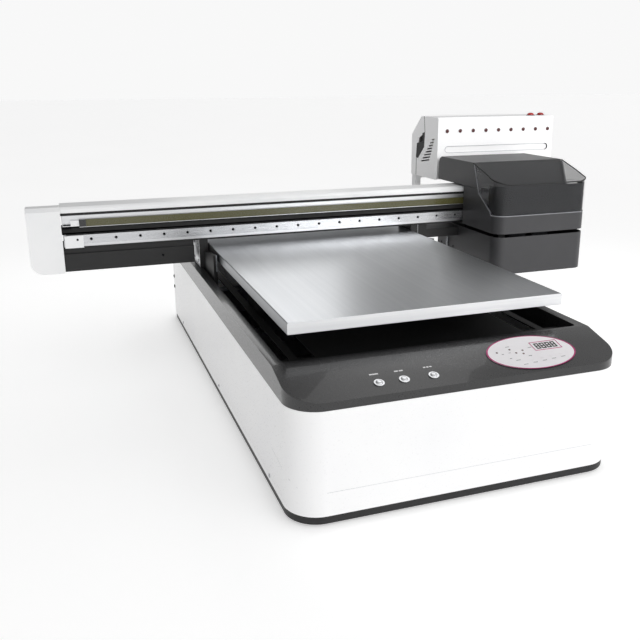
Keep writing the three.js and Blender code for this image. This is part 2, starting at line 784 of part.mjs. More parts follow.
function inkHousing() {
  const { left, right, bottom, top } = ink;
  const shell = extrudeX(inkProfile(0), [left, right]);
  const hollow = extrudeX(inkProfile(sheet), [left + sheet, right - sheet]);
  const hatch = box([900, 1216], [1150, 1290], [bottom - 1, bottom + sheet + 1]);
  const notch = polygon([[1224, 619], [1226, 590], [1240, 578], [1274, 548], [1262, 600]]);
  const hoseOpening = extrudeX(notch, [left - 1, left + sheet + 1]);
  const stems = stopButton.x.map((x) => cylinder(stopButton.stem + 1, 20, 16).translate(x, stopButton.y, top));
  return cut(shell, hollow, hatch, hoseOpening, ...stems);
}

function inkBracket() {
  const low = [366, 383];
  const rear = [1293, 1323];
  const top = ink.bottom - gap;
  const spans = [[845, 865], [1170, 1190]];
  const arms = spans.map((span) => box(span, [beam.rear + gap, rear[1]], low));
  const posts = spans.map((span) => box(span, rear, [low[0], top]));
  const shelf = box([845, 1255], rear, [top - 12, top]);
  return join(...arms, ...posts, shelf);
}

function inkTankRack() {
  const floor = ink.bottom + sheet + gap;
  const rack = box([862, 1254], [1140, 1300], [floor, 500]);
  const tank = { count: 6, pitch: 62, width: 54, first: 876 };
  const tanks = Array.from({ length: tank.count }, (_, index) => {
    const left = tank.first + index * tank.pitch;
    return box([left, left + tank.width], [1146, 1240], [499, 620]);
  });
  return join(rack, ...tanks);
}

function stopKnob(x) {
  const { stem, head, y } = stopButton;
  const under = ink.top + 5.5;
  const profile = [
    [0, ink.top - 10],
    [stem, ink.top - 10],
    [stem, under],
    [head, under],
    [head, under + 3],
    [head * 0.75, under + 6],
    [head * 0.35, under + 7.5],
    [0, under + 8],
  ];
  return turned(profile).translate(x, y, 0);
}

add('ink_housing', inkHousing(), 'whitePaint');
add('ink_bracket', inkBracket(), 'whitePaint');
add('ink_tank_rack', inkTankRack(), 'smokedClear');
add('stop_button_left', stopKnob(stopButton.x[0]), 'redPlastic');
add('stop_button_right', stopKnob(stopButton.x[1]), 'redPlastic');

// The origin goes to the middle of the footprint: end cover to ink box, front to back.
machine.position.set(-(endBox.left + ink.right) / 2, -base.depth / 2, 0);

export default machine;
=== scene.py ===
"""Flatbed UV printer: finished surfaces and small fittings around its fixed CAD frame."""

import json
import logging
import math
from collections.abc import Callable, Iterable
from dataclasses import dataclass
from enum import Enum

import bmesh
import bpy
from mathutils import Matrix, Vector

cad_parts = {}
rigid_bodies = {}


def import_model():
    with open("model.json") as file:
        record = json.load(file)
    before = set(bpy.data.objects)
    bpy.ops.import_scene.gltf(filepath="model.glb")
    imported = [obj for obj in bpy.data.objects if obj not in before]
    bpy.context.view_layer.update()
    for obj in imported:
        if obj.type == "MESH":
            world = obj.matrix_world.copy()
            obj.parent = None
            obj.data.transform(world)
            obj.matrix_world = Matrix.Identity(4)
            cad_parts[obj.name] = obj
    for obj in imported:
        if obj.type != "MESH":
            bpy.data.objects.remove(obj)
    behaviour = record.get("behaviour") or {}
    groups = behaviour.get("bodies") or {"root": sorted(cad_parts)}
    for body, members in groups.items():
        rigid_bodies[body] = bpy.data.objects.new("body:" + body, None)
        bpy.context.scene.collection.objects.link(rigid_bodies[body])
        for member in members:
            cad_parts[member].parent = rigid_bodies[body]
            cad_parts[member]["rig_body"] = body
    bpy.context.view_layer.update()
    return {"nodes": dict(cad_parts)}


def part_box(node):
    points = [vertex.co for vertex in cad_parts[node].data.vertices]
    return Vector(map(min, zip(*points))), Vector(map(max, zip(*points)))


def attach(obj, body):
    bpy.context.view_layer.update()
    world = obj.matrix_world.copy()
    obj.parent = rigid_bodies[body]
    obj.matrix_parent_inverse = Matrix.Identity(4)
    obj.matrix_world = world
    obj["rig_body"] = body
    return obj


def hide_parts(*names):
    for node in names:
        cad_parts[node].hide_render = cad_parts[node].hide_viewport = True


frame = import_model()

log = logging.getLogger("flatbed_printer")

MM = 0.001
CABINET_WIDTH = 710.0
SHARP_DEGREES = 30
BASE = "machine_base"
Span = tuple[float, float]
Point = tuple[float, float, float]
Piece = bpy.types.Object
Tree = bpy.types.NodeTree
Socket = bpy.types.NodeSocket
Picked = Callable[[bmesh.types.BMFace | bmesh.types.BMEdge], bool]


class Axis(Enum):
    """The machine's three directions."""

    X = 0
    Y = 1
    Z = 2

    def turn(self) -> Point:
        """The rotation that lays a cylinder's own axis along this direction."""
        return {Axis.X: (0, math.pi / 2, 0), Axis.Y: (math.pi / 2, 0, 0), Axis.Z: (0, 0, 0)}[self]


class Side(Enum):
    """The machine's two sides, as they multiply a distance from its middle."""

    LEFT = -1
    RIGHT = 1

    @property
    def word(self) -> str:
        """The side as it stands in the names of pieces."""
        return self.name.lower()

    def across(self, x: float) -> float:
        """A place measured from the cabinet's left, mirrored when this is the right side."""
        return x if self is Side.LEFT else CABINET_WIDTH - x


class Part(Enum):
    """The parts of a mesh that can be picked for editing."""

    FACE = "faces"
    EDGE = "edges"


@dataclass(frozen=True)
class Datum:
    """The cabinet's front left bottom corner, from which the machine's drawing is measured."""

    corner: Vector

    def at(self, x: float, y: float, z: float) -> Vector:
        """A drawing point in millimetres, as a place in the shared frame in metres."""
        return self.corner + Vector((x, y, z)) * MM

    def drawn(self, box: tuple[Vector, Vector]) -> tuple[Vector, Vector]:
        """The two corners of a box of the shared frame, in drawing millimetres."""
        low, high = box
        return (low - self.corner) / MM, (high - self.corner) / MM


datum = Datum(Vector((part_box("base_shell")[0].x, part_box("base_shell")[0].y, 0)))


# ---------------------------------------------------------------- shader helpers
def linear(code: str) -> tuple[float, float, float, float]:
    """Turns six sRGB hex digits to the linear colour that shaders use, with an alpha of one."""
    shares = [int(code[i : i + 2], 16) / 255 for i in (0, 2, 4)]
    red, green, blue = (s / 12.92 if s <= 0.04045 else ((s + 0.055) / 1.055) ** 2.4 for s in shares)
    return red, green, blue, 1.0


def add_node(
    tree: Tree,
    kind: str,
    settings: dict[str, object] | None = None,
    inputs: dict[str | int, object] | None = None,
) -> bpy.types.Node:
    """Adds one shader node with its settings and links.

    Args:
        tree: the material's or world's node tree.
        kind: the node's type name.
        settings: attributes of the node by name.
        inputs: socket values, or the output sockets to link, by socket name or number.

    Returns:
        The new node.
    """
    node = tree.nodes.new(kind)
    for name, value in (settings or {}).items():
        setattr(node, name, value)
    for name, value in (inputs or {}).items():
        if isinstance(value, Socket):
            tree.links.new(value, node.inputs[name])
        else:
            node.inputs[name].default_value = value
    return node


def noise(tree: Tree, place: Socket, size_mm: float, detail: float) -> Socket:
    """A noise pattern with marks about size_mm across."""
    inputs = {"Vector": place, "Scale": 1000 / size_mm, "Detail": detail}
    return add_node(tree, "ShaderNodeTexNoise", inputs=inputs).outputs["Fac"]


def spread_over(tree: Tree, pattern: Socket, span: Span = (0.0, 1.0)) -> Socket:
    """Stretches a noise pattern's middle range over a span of values."""
    inputs = {"Value": pattern, "From Min": 0.3, "From Max": 0.7, "To Min": span[0], "To Max": span[1]}
    return add_node(tree, "ShaderNodeMapRange", inputs=inputs).outputs["Result"]


@dataclass(frozen=True)
class Finish:
    """A surface finish: two close tones in soft patches under a fine grain."""

    name: str
    tone: str
    shade: str
    roughness: Span = (0.35, 0.45)
    patch_mm: float = 60.0
    grain_mm: float = 1.2
    grain_depth_mm: float = 0.02
    metallic: float = 0.0
    ior: float = 1.5
    coat: float = 0.0
    alpha: float = 1.0

    def stretch(self) -> Point:
        """How much shorter the pattern is along each direction."""
        return 1.0, 1.0, 1.0

    def pattern(self, tree: Tree, place: Socket) -> Socket:
        """The share of the second tone at each mapped place, from zero to one."""
        return spread_over(tree, noise(tree, place, self.patch_mm, 3.0))

    def material(self) -> bpy.types.Material:
        """The finish as a Blender material, which is made once and then shared."""
        ready = bpy.data.materials.get(self.name)
        if ready is not None and ready.get("finish_done"):
            return ready
        made = bpy.data.materials.new(self.name)
        made["finish_done"] = True
        made.use_nodes = True
        tree = made.node_tree
        shader = tree.nodes["Principled BSDF"]
        coordinates = add_node(tree, "ShaderNodeTexCoord").outputs["Object"]
        mapping = {"Vector": coordinates, "Scale": self.stretch()}
        place = add_node(tree, "ShaderNodeMapping", inputs=mapping).outputs["Vector"]
        tones = {0: self.pattern(tree, place), 6: linear(self.tone), 7: linear(self.shade)}
        colour = add_node(tree, "ShaderNodeMix", {"data_type": "RGBA"}, tones)
        grain = noise(tree, place, self.grain_mm, 2.0)
        gloss = spread_over(tree, grain, self.roughness)
        depth = {"Height": grain, "Distance": self.grain_depth_mm * MM, "Strength": 1.0}
        relief = add_node(tree, "ShaderNodeBump", inputs=depth)
        tree.links.new(colour.outputs[2], shader.inputs["Base Color"])
        tree.links.new(gloss, shader.inputs["Roughness"])
        tree.links.new(relief.outputs["Normal"], shader.inputs["Normal"])
        shader.inputs["Metallic"].default_value = self.metallic
        shader.inputs["IOR"].default_value = self.ior
        shader.inputs["Coat Weight"].default_value = self.coat
        shader.inputs["Alpha"].default_value = self.alpha
        return made


@dataclass(frozen=True)
class BrushedFinish(Finish):
    """A metal with long fine scratches along one direction."""

    along: Axis = Axis.Y
    length: float = 60.0

    def stretch(self) -> Point:
        """Scratches are as many times longer than wide as length says."""
        across = [1.0, 1.0, 1.0]
        across[self.along.value] = 1 / self.length
        return tuple(across)


@dataclass(frozen=True)
class RuledFinish(Finish):
    """A film with fine upright rulings, as on an encoder strip."""

    pitch_mm: float = 3.0

    def pattern(self, tree: Tree, place: Socket) -> Socket:
        """Bands across the strip's length, from zero to one."""
        # A wave's band repeats 20 times less often than its scale says, over two pi.
        scale = 1000 / self.pitch_mm * 2 * math.pi / 20
        inputs = {"Vector": place, "Scale": scale, "Distortion": 0.0}
        return add_node(tree, "ShaderNodeTexWave", {"bands_direction": "X"}, inputs).outputs["Fac"]


# Gloss enamel on pressed sheet: a clean white with faint orange peel.
WHITE_ENAMEL = Finish("white_enamel_paint", "F8F8F8", "F4F4F5", (0.27, 0.31), 180, 3.2, 0.003, coat=0.2)
# The same enamel with less gloss, on bent brackets and the end covers.
WHITE_SATIN = Finish("white_satin_paint", "F3F3F3", "ECEDEE", (0.36, 0.42), 120, 2.4, 0.006)
# Injection moulded ABS with a high polish: deep black that takes on the room as grey.
BLACK_GLOSS = Finish("black_polished_abs", "272728", "232324", (0.27, 0.29), 90, 2.4, 0.0006, coat=0.3)
# Fine textured powder coat on folded steel.
BLACK_POWDER = Finish("black_powder_coat", "141415", "0F0F10", (0.46, 0.56), 70, 0.9, 0.015)
# Matt black paint inside the cabinet top; also painted shade in the beam's front channel and over the ink
# box's side notch.
BLACK_MATT_AND_SHADE = Finish("black_matt_paint", "0E0E0F", "080808", (0.5, 0.66), 80, 1.1, 0.03)
# Milled aluminium plate, brushed along its length.
BED_BRUSHED = BrushedFinish(
    "brushed_aluminium_plate", "ABADAF", "A3A5A8", (0.30, 0.33), 14, 2.6, 0.0,
    metallic=1.0, along=Axis.Y, length=260
)
# Painted reflection: the plate's fly cut front edge, painted brighter than its top for the pale floor that
# it reflects.
BED_EDGE_REFLECTION = BrushedFinish(
    "fly_cut_aluminium_edge", "F0F1F2", "E6E7E9", (0.36, 0.42), 6, 1.2, 0.0005,
    metallic=1.0, along=Axis.X, length=40
)
# Clear anodised extrusion with drawing lines along the beam.
ANODISED = BrushedFinish(
    "anodised_extrusion", "DFE0E2", "D6D7D9", (0.32, 0.4), 6, 0.8, 0.001,
    metallic=1.0, along=Axis.X, length=60
)
# Hardened and ground bearing steel.
GROUND_STEEL = BrushedFinish(
    "ground_bearing_steel", "CDCED0", "C2C3C6", (0.24, 0.32), 5, 0.6, 0.0008,
    metallic=1.0, along=Axis.X, length=40
)
GROUND_STEEL_Y = BrushedFinish(
    "ground_bearing_steel_long", "CDCED0", "C2C3C6", (0.24, 0.32), 5, 0.6, 0.0008,
    metallic=1.0, along=Axis.Y, length=40
)
# Sand cast aluminium, blasted: pale and grainy.
CAST_ALUMINIUM = Finish(
    "blasted_cast_aluminium", "B9BABC", "A5A6A9", (0.42, 0.55), 25, 0.9, 0.03, metallic=1.0
)
# Blackened tool steel of motors and heads.
DARK_STEEL = Finish("blackened_steel", "4A4B4E", "37383B", (0.35, 0.48), 18, 0.8, 0.015, metallic=1.0)
# Hot dip zinc with its pale spangle.
ZINC_STEEL = Finish("galvanised_steel", "A9ADB2", "8F949A", (0.38, 0.52), 12, 1.4, 0.012, metallic=1.0)
# Bright zinc plate on small screws.
ZINC_BRIGHT = Finish("zinc_plated_screw", "C4C6C9", "A8AAAE", (0.2, 0.32), 5, 0.6, 0.006, metallic=1.0)
# Black oxide on socket screws.
BLACK_OXIDE = Finish("black_oxide_screw", "1C1C1F", "111113", (0.38, 0.5), 5, 0.6, 0.008, metallic=1.0)
# Vulcanised rubber.
RUBBER = Finish("vulcanised_rubber", "1E1E1E", "151515", (0.62, 0.8), 20, 0.8, 0.05)
# Painted highlight: the cut edge of the smoked sheet, painted paler where it gathers light.
HOOD_EDGE_HIGHLIGHT = Finish("polished_sheet_edge", "8B8C90", "747579", (0.1, 0.18), 20, 1.2, 0.002, coat=0.4)
# Painted highlight: the flame polished bevel inside the hood's rear edges, half clear and painted paler
# than the sheet.
HOOD_BEVEL_HIGHLIGHT = Finish(
    "polished_sheet_bevel", "A2A3A7", "8F9094", (0.1, 0.18), 20, 1.2, 0.002, coat=0.4, alpha=0.4
)
# Clear polyester film with olive rulings; the real pitch is far finer than this.
ENCODER_FILM = RuledFinish(
    "encoder_polyester_film", "58562F", "424025", (0.22, 0.32), 60, 2.0, 0.002, coat=0.4
)
# Smoked acrylic sheet, thermoformed: see-through with a dark cast and a sharp gloss.
SMOKED = Finish(
    "smoked_acrylic_sheet", "2E2F31", "26272A", (0.05, 0.09), 140, 3.0, 0.003, ior=1.49, alpha=0.24
)
# Moulded ABS of the carriage, satin.
CARRIAGE_ABS = Finish("black_satin_abs", "343436", "303032", (0.42, 0.46), 80, 1.6, 0.002)
# Cast vinyl film inside the hood's front: an even near-black that hides the heads.
DARK_FILM = Finish("black_cast_vinyl_film", "2B2B2D", "252527", (0.5, 0.6), 80, 1.3, 0.002)
# Screen printed polyester overlay.
OVERLAY = Finish("white_polyester_overlay", "FBF9FB", "F6F3F6", (0.4, 0.46), 30, 1.4, 0.002)
MAGENTA_INK = Finish("magenta_screen_ink", "BE1276", "AE0E6A", (0.3, 0.42), 12, 0.7, 0.002)
BLACK_INK = Finish("black_screen_ink", "060606", "090909", (0.6, 0.7), 10, 0.7, 0.002)
GREY_INK = Finish("grey_screen_ink", "57545A", "49464D", (0.3, 0.42), 10, 0.7, 0.003)
PALE_INK = Finish("pale_screen_ink", "F4F4F4", "E6E6E8", (0.4, 0.5), 10, 0.7, 0.002)
# Painted shade: the shadow side of the pressed crease and of the ink box's recess edge, painted as a bead a
# touch greyer than the sheet round it.
PRESSED_EDGE_SHADE = Finish("white_enamel_crease", "BFC0C4", "B6B7BC", (0.36, 0.42), 40, 1.2, 0.002)
# Polished chrome plate on brass.
CHROME = Finish("chrome_plated_brass", "EDEEF0", "E0E1E4", (0.2, 0.27), 8, 1.0, 0.001, metallic=1.0)
# Cast acrylic, transparent red through its depth.
RED_ACRYLIC = Finish("red_moulded_acrylic", "AE1010", "8E0A0A", (0.12, 0.2), 10, 1.2, 0.004, coat=0.6)
DARK_RED_LENS = Finish("dark_red_lens", "50090D", "3C0709", (0.3, 0.36), 6, 0.8, 0.002)
# Blow moulded polyethylene of the ink tanks.
TANK_PLASTIC = Finish("natural_polyethylene", "DDD9CF", "CFCABE", (0.4, 0.52), 30, 1.5, 0.03)
# Near-black polyester rubber, for dark joint lines and the beam's dark strips, and as painted shade along
# the hood's bend, in the beam's shadow gap and at the ink recess's end.
JOINT_AND_SHADE_BLACK = Finish("black_gasket", "101010", "0B0B0B", (0.5, 0.62), 14, 0.7, 0.02)
# Machined brass of contacts and nozzles.
BRASS = Finish("machined_brass", "C9A24E", "B58E3E", (0.25, 0.36), 8, 0.5, 0.006, metallic=1.0)
# Quartz window over the lamp's diodes.
LAMP_WINDOW = Finish("quartz_lamp_window", "3B3460", "2A2548", (0.06, 0.12), 12, 1.5, 0.002, coat=0.5)
# Matt paper under the machine.
PALE_FLOOR = Finish("pale_studio_floor", "F4F4F4", "F1F1F1", (0.6, 0.7), 900, 20, 0.01)


# ---------------------------------------------------------------- modelling bench
class Bench:
    """The modelling bench: adds, shapes and finishes meshes with Blender's own operators."""

    def clear(self) -> None:
        """Leaves edit mode and deselects everything."""
        if bpy.context.mode != "OBJECT":
            bpy.ops.object.mode_set(mode="OBJECT")
        bpy.ops.object.select_all(action="DESELECT")

    def focus(self, *pieces: Piece) -> None:
        """Selects only these pieces and makes the first one active."""
        self.clear()
        for piece in pieces:
            piece.select_set(True)
        bpy.context.view_layer.objects.active = pieces[0]

    def named(self, name: str) -> Piece:
        """Names the primitive just added and fixes its place in its mesh."""
        piece = bpy.context.active_object
        piece.name = name
        piece.data.name = name
        bpy.ops.object.transform_apply(location=True, rotation=True, scale=True)
        return piece

    def block(self, name: str, x: Span, y: Span, z: Span) -> Piece:
        """Adds a cube primitive that fills a box of the drawing, given by its spans in millimetres."""
        low, high = datum.at(x[0], y[0], z[0]), datum.at(x[1], y[1], z[1])
        self.clear()
        bpy.ops.mesh.primitive_cube_add(size=1, location=(low + high) / 2, scale=high - low)
        return self.named(name)

    def rod(
        self, name: str, centre: Point, radius: float, length: float, axis: Axis, sides: int = 32
    ) -> Piece:
        """Adds a cylinder primitive at a centre of the drawing, its round made of flat sides."""
        self.clear()
        size = {"radius": radius * MM, "depth": length * MM, "vertices": sides}
        bpy.ops.mesh.primitive_cylinder_add(location=datum.at(*centre), rotation=axis.turn(), **size)
        return self.named(name)

    def edit(self, piece: Piece) -> None:
        """Enters edit mode with the whole piece selected."""
        self.focus(piece)
        bpy.ops.object.mode_set(mode="EDIT")
        bpy.ops.mesh.select_all(action="SELECT")

    def pick(self, piece: Piece, wanted: Picked, part: Part = Part.FACE) -> None:
        """Enters edit mode with only the wanted parts selected.

        Args:
            piece: the mesh object to edit.
            wanted: says of a face or an edge whether it is selected.
            part: whether faces or edges are picked.
        """
        self.edit(piece)
        bpy.ops.mesh.select_mode(type=part.name)
        bpy.ops.mesh.select_all(action="DESELECT")
        mesh = bmesh.from_edit_mesh(piece.data)
        for item in getattr(mesh, part.value):
            item.select_set(wanted(item))
        bmesh.update_edit_mesh(piece.data)

    def extrude(self, way: Iterable[float]) -> None:
        """Extrudes the picked faces this far and this way, in millimetres."""
        bpy.ops.mesh.extrude_region_move(TRANSFORM_OT_translate={"value": Vector(way) * MM})

    def crown(self, piece: Piece, way: Point, steps: Iterable[Span]) -> Piece:
        """Raises the flat end that faces a unit direction in smaller and smaller steps, as a dome.

        Args:
            piece: the mesh object.
            way: the direction.
            steps: how far each step is inset and how far it rises, in millimetres.

        Returns:
            The same piece.
        """
        for inset, lift in steps:
            self.pick(piece, lambda face: face.normal.dot(Vector(way)) > 0.99)
            bpy.ops.mesh.inset(thickness=inset * MM)
            bpy.ops.transform.translate(value=Vector(way) * (lift * MM))
            self.done_editing()
        return self.smooth(piece, 60)

    def sheet(self, name: str, outline: list[Point], thickness: Point) -> Piece:
        """Shapes a filled ring to an outline and gives it thickness.

        Args:
            name: the piece's name.
            outline: its corners in order, in millimetres.
            thickness: how far and which way its far face lies from the outline.

        Returns:
            The sheet.
        """
        self.clear()
        bpy.ops.mesh.primitive_circle_add(vertices=len(outline), radius=0.01, fill_type="NGON")
        piece = self.named(name)
        for vertex, place in zip(piece.data.vertices, outline):
            vertex.co = datum.at(*place)
        self.pick(piece, lambda face: True)
        self.extrude(thickness)
        bpy.ops.mesh.select_all(action="SELECT")
        bpy.ops.mesh.normals_make_consistent(inside=False)
        self.done_editing()
        return piece

    def tube(self, name: str, points: Iterable[Point], radius: float) -> Piece:
        """Runs a thin round bead along a line of points in millimetres, as a mesh."""
        places = [datum.at(*point) for point in points]
        curve = bpy.data.curves.new(name, "CURVE")
        curve.dimensions = "3D"
        curve.bevel_depth = radius * MM
        curve.bevel_resolution = 2
        curve.use_fill_caps = True
        spline = curve.splines.new("POLY")
        spline.points.add(len(places) - 1)
        for knot, place in zip(spline.points, places):
            knot.co = (*place, 1)
        piece = bpy.data.objects.new(name, curve)
        bpy.context.scene.collection.objects.link(piece)
        self.focus(piece)
        bpy.ops.object.convert(target="MESH")
        return self.smooth(piece, 60)

    def done_editing(self) -> None:
        """Returns to object mode."""
        bpy.ops.object.mode_set(mode="OBJECT")

    def apply(self, piece: Piece, kind: str, **settings: object) -> None:
        """Adds a modifier of a kind with these settings and applies it at once."""
        self.focus(piece)
        modifier = piece.modifiers.new(kind.lower(), kind)
        for name, value in settings.items():
            setattr(modifier, name, value)
        bpy.ops.object.modifier_apply(modifier=modifier.name)

    def smooth(self, piece: Piece, angle: float = 35) -> Piece:
        """Shades a piece smooth across edges flatter than an angle in degrees."""
        self.focus(piece)
        bpy.ops.object.shade_smooth_by_angle(angle=math.radians(angle))
        return piece

    def soften(self, piece: Piece, width: float, segments: int = 2) -> Piece:
        """Rounds the sharp edges, then shades the piece.

        Args:
            piece: the mesh object.
            width: the rounding's width in millimetres.
            segments: how many steps the rounding has.

        Returns:
            The same piece.
        """
        sharp = math.radians(SHARP_DEGREES)
        limits = {"limit_method": "ANGLE", "angle_limit": sharp, "use_clamp_overlap": True}
        self.apply(piece, "BEVEL", width=width * MM, segments=segments, **limits)
        self.smooth(piece)
        self.apply(piece, "WEIGHTED_NORMAL", keep_sharp=True)
        return piece

    def copy_of(self, node: str, name: str) -> Piece:
        """Makes a merged copy of a CAD node, which then stands for the node."""
        piece = bpy.data.objects.new(name, frame["nodes"][node].data.copy())
        piece.data.name = name
        piece.data.materials.clear()
        bpy.context.scene.collection.objects.link(piece)
        self.edit(piece)
        bpy.ops.mesh.remove_doubles(threshold=0.00001)
        bpy.ops.mesh.dissolve_limited(angle_limit=math.radians(0.4))
        self.done_editing()
        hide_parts(node)
        return piece

    def repeat(self, piece: Piece, steps: Iterable[Point]) -> Piece:
        """Copies a piece to each offset in millimetres and joins the copies with it."""
        copies = []
        for step in steps:
            self.focus(piece)
            bpy.ops.object.duplicate()
            copy = bpy.context.active_object
            copy.data.transform(Matrix.Translation(Vector(step) * MM))
            copies.append(copy)
        return self.join(piece, *copies)

    def join(self, piece: Piece, *others: Piece) -> Piece:
        """Joins other meshes into a piece."""
        if others:
            self.focus(piece, *others)
            bpy.ops.object.join()
        return piece

    def merge(self, name: str, pieces: list[Piece]) -> Piece:
        """Joins pieces into the first of them, under a new name."""
        piece = self.join(*pieces)
        piece.name = name
        return piece

    def carve(self, piece: Piece, cutter: Piece) -> None:
        """Cuts one mesh out of a piece and removes the cutter."""
        self.apply(piece, "BOOLEAN", operation="DIFFERENCE", object=cutter, solver="EXACT")
        bpy.data.objects.remove(cutter)

    def finish(self, piece: Piece, finish: Finish, body: str = BASE, slot: str | None = None) -> Piece:
        """Gives a piece its finish and the body that it rides on.

        Args:
            piece: the finished mesh.
            finish: its surface.
            body: the CAD body that it moves with.
            slot: the record's material slot, if it has one; not used.

        Returns:
            The same piece.
        """
        piece.data.materials.clear()
        piece.data.materials.append(finish.material())
        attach(piece, body)
        log.info("%s in %s on %s", piece.name, finish.name, body)
        return piece


bench = Bench()


def body_of(node: str) -> str:
    """The body that a CAD node moves with."""
    return frame["nodes"][node]["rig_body"]


class SubAssembly:
    """What every sub-assembly shares: how it dresses its CAD nodes and models plates and screws."""

    def dress(self, finish: Finish, *nodes: str) -> None:
        """Gives carried-over CAD nodes a finish."""
        for node in nodes:
            mesh = frame["nodes"][node].data
            mesh.materials.clear()
            mesh.materials.append(finish.material())
            log.info("%s in %s", node, finish.name)

    def rounded(self, node: str, finish: Finish, slot: str, width: float = 0.8, segments: int = 2) -> Piece:
        """Replaces a CAD node by a copy with rounded edges.

        Args:
            node: the CAD node's name.
            finish: its surface.
            slot: the record's material slot.
            width: the rounding's width in millimetres.
            segments: how many steps the rounding has.

        Returns:
            The new piece.
        """
        piece = bench.copy_of(node, f"{node}_shaped")
        bench.soften(piece, width, segments)
        return bench.finish(piece, finish, body_of(node), slot)

    def plate(
        self,
        name: str,
        box: tuple[Span, Span, Span],
        width: float,
        finish: Finish,
        body: str = BASE,
        slot: str | None = None,
    ) -> None:
        """Models a block of the drawing with rounded edges.

        Args:
            name: the piece's name.
            box: its spans in X, Y and Z, in millimetres.
            width: the rounding's width.
            finish: its surface.
            body: the CAD body that it moves with.
            slot: the record's material slot, if it has one.
        """
        bench.finish(bench.soften(bench.block(name, *box), width), finish, body, slot)

    def screws(
        self,
        name: str,
        centre: Point,
        size: Span,
        way: tuple[Axis, int],
        finish: Finish,
        steps: Iterable[Point] = (),
    ) -> None:
        """Models round screw heads with hexagon sockets, standing on a surface.

        Args:
            name: the piece's name.
            centre: the point on the surface under the first head, in millimetres.
            size: a head's radius and how far it stands out.
            way: the axis that the heads stand along, and 1 or -1 along it.
            finish: their surface.
            steps: offsets of the other heads.
        """
        (radius, height), (axis, outward) = size, way
        middle = list(centre)
        middle[axis.value] += outward * height / 2
        head = bench.rod(name, tuple(middle), radius, height, axis, 24)
        facing = Vector((0, 0, 0))
        facing[axis.value] = outward
        bench.pick(head, lambda face: face.normal.dot(facing) > 0.9)
        bpy.ops.mesh.bevel(offset=height * 0.25 * MM, segments=2, affect="EDGES")
        bench.done_editing()
        bench.pick(head, lambda face: face.normal.dot(facing) > 0.99 and len(face.verts) > 8)
        bpy.ops.mesh.inset(thickness=radius * 0.45 * MM)
        bench.extrude(facing * (-height * 0.55))
        bench.done_editing()
        bench.smooth(head)
        bench.finish(bench.repeat(head, steps), finish)


# ---------------------------------------------------------------- cabinet
@dataclass
class Cabinet(SubAssembly):
    """The white cabinet with its bottom pan, feet and black lid."""

    corner: float = 66
    seam_z: float = 69.5
    seam_rise: tuple[Point, ...] = (
        (0, 142, 105), (0, 96, 101), (0, 66, 96), (5, 40, 88), (15, 24, 78), (29, 11.5, 71),
    )
    seam_sunk: float = 0.45
    foot_levels: tuple[float, ...] = (0.35, 0.55, 0.7, 0.85)
    first_screw: Span = (165, 33)
    screw_steps: Span = (502, 1078)
    latch: Span = (1396, 118)
    latch_step: float = 35

    def build(self) -> None:
        """Builds the shells, the crease round the front and the fixings."""
        self.rounded("base_shell", WHITE_ENAMEL, "white_enamel", 1.2, 3)
        self.rounded("base_pan", BLACK_POWDER, "black_paint", 1.0)
        self.rounded("lid_frame", BLACK_GLOSS, "black_gloss", 1.6, 3)
        for corner in ("front_left", "front_right", "rear_left", "rear_right"):
            self.foot(f"foot_{corner}")
        self.crease()
        self.fixings()

    def foot(self, node: str) -> None:
        """Builds one rubber foot, with its side in level bands."""
        low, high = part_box(node)
        piece = bench.copy_of(node, f"{node}_shaped")
        for share in self.foot_levels:
            bench.edit(piece)
            level = low.z + (high.z - low.z) * share
            bpy.ops.mesh.bisect(plane_co=(low.x, low.y, level), plane_no=(0, 0, 1))
            bench.done_editing()
        bench.finish(bench.soften(piece, 0.7), RUBBER, slot="rubber")

    def crease(self) -> None:
        """Runs a bead of painted shade along the pressed crease on the front, up round both corners."""
        left = [(x + self.seam_sunk, y + self.seam_sunk / 2, z) for x, y, z in self.seam_rise]
        left.append((self.corner, self.seam_sunk, self.seam_z))
        right = [(CABINET_WIDTH - x, y, z) for x, y, z in reversed(left)]
        # The bead's grey is painted shade: the crease's shadow side.
        bench.finish(bench.tube("cabinet_crease", left + right, 0.6), PRESSED_EDGE_SHADE, slot="white_enamel")

    def fixings(self) -> None:
        """Adds the screws low on both sides and the lid's two catches at the rear."""
        steps = [(0, step, 0) for step in self.screw_steps]
        for side in Side:
            x, way, word = side.across(0), (Axis.X, side.value), side.word
            self.screws(f"side_screws_{word}", (x, *self.first_screw), (4, 1.4), way, ZINC_BRIGHT, steps)
            upper = [(0, 0, self.latch_step)]
            self.screws(f"lid_catches_{word}", (x, *self.latch), (5.5, 2.2), way, BLACK_OXIDE, upper)


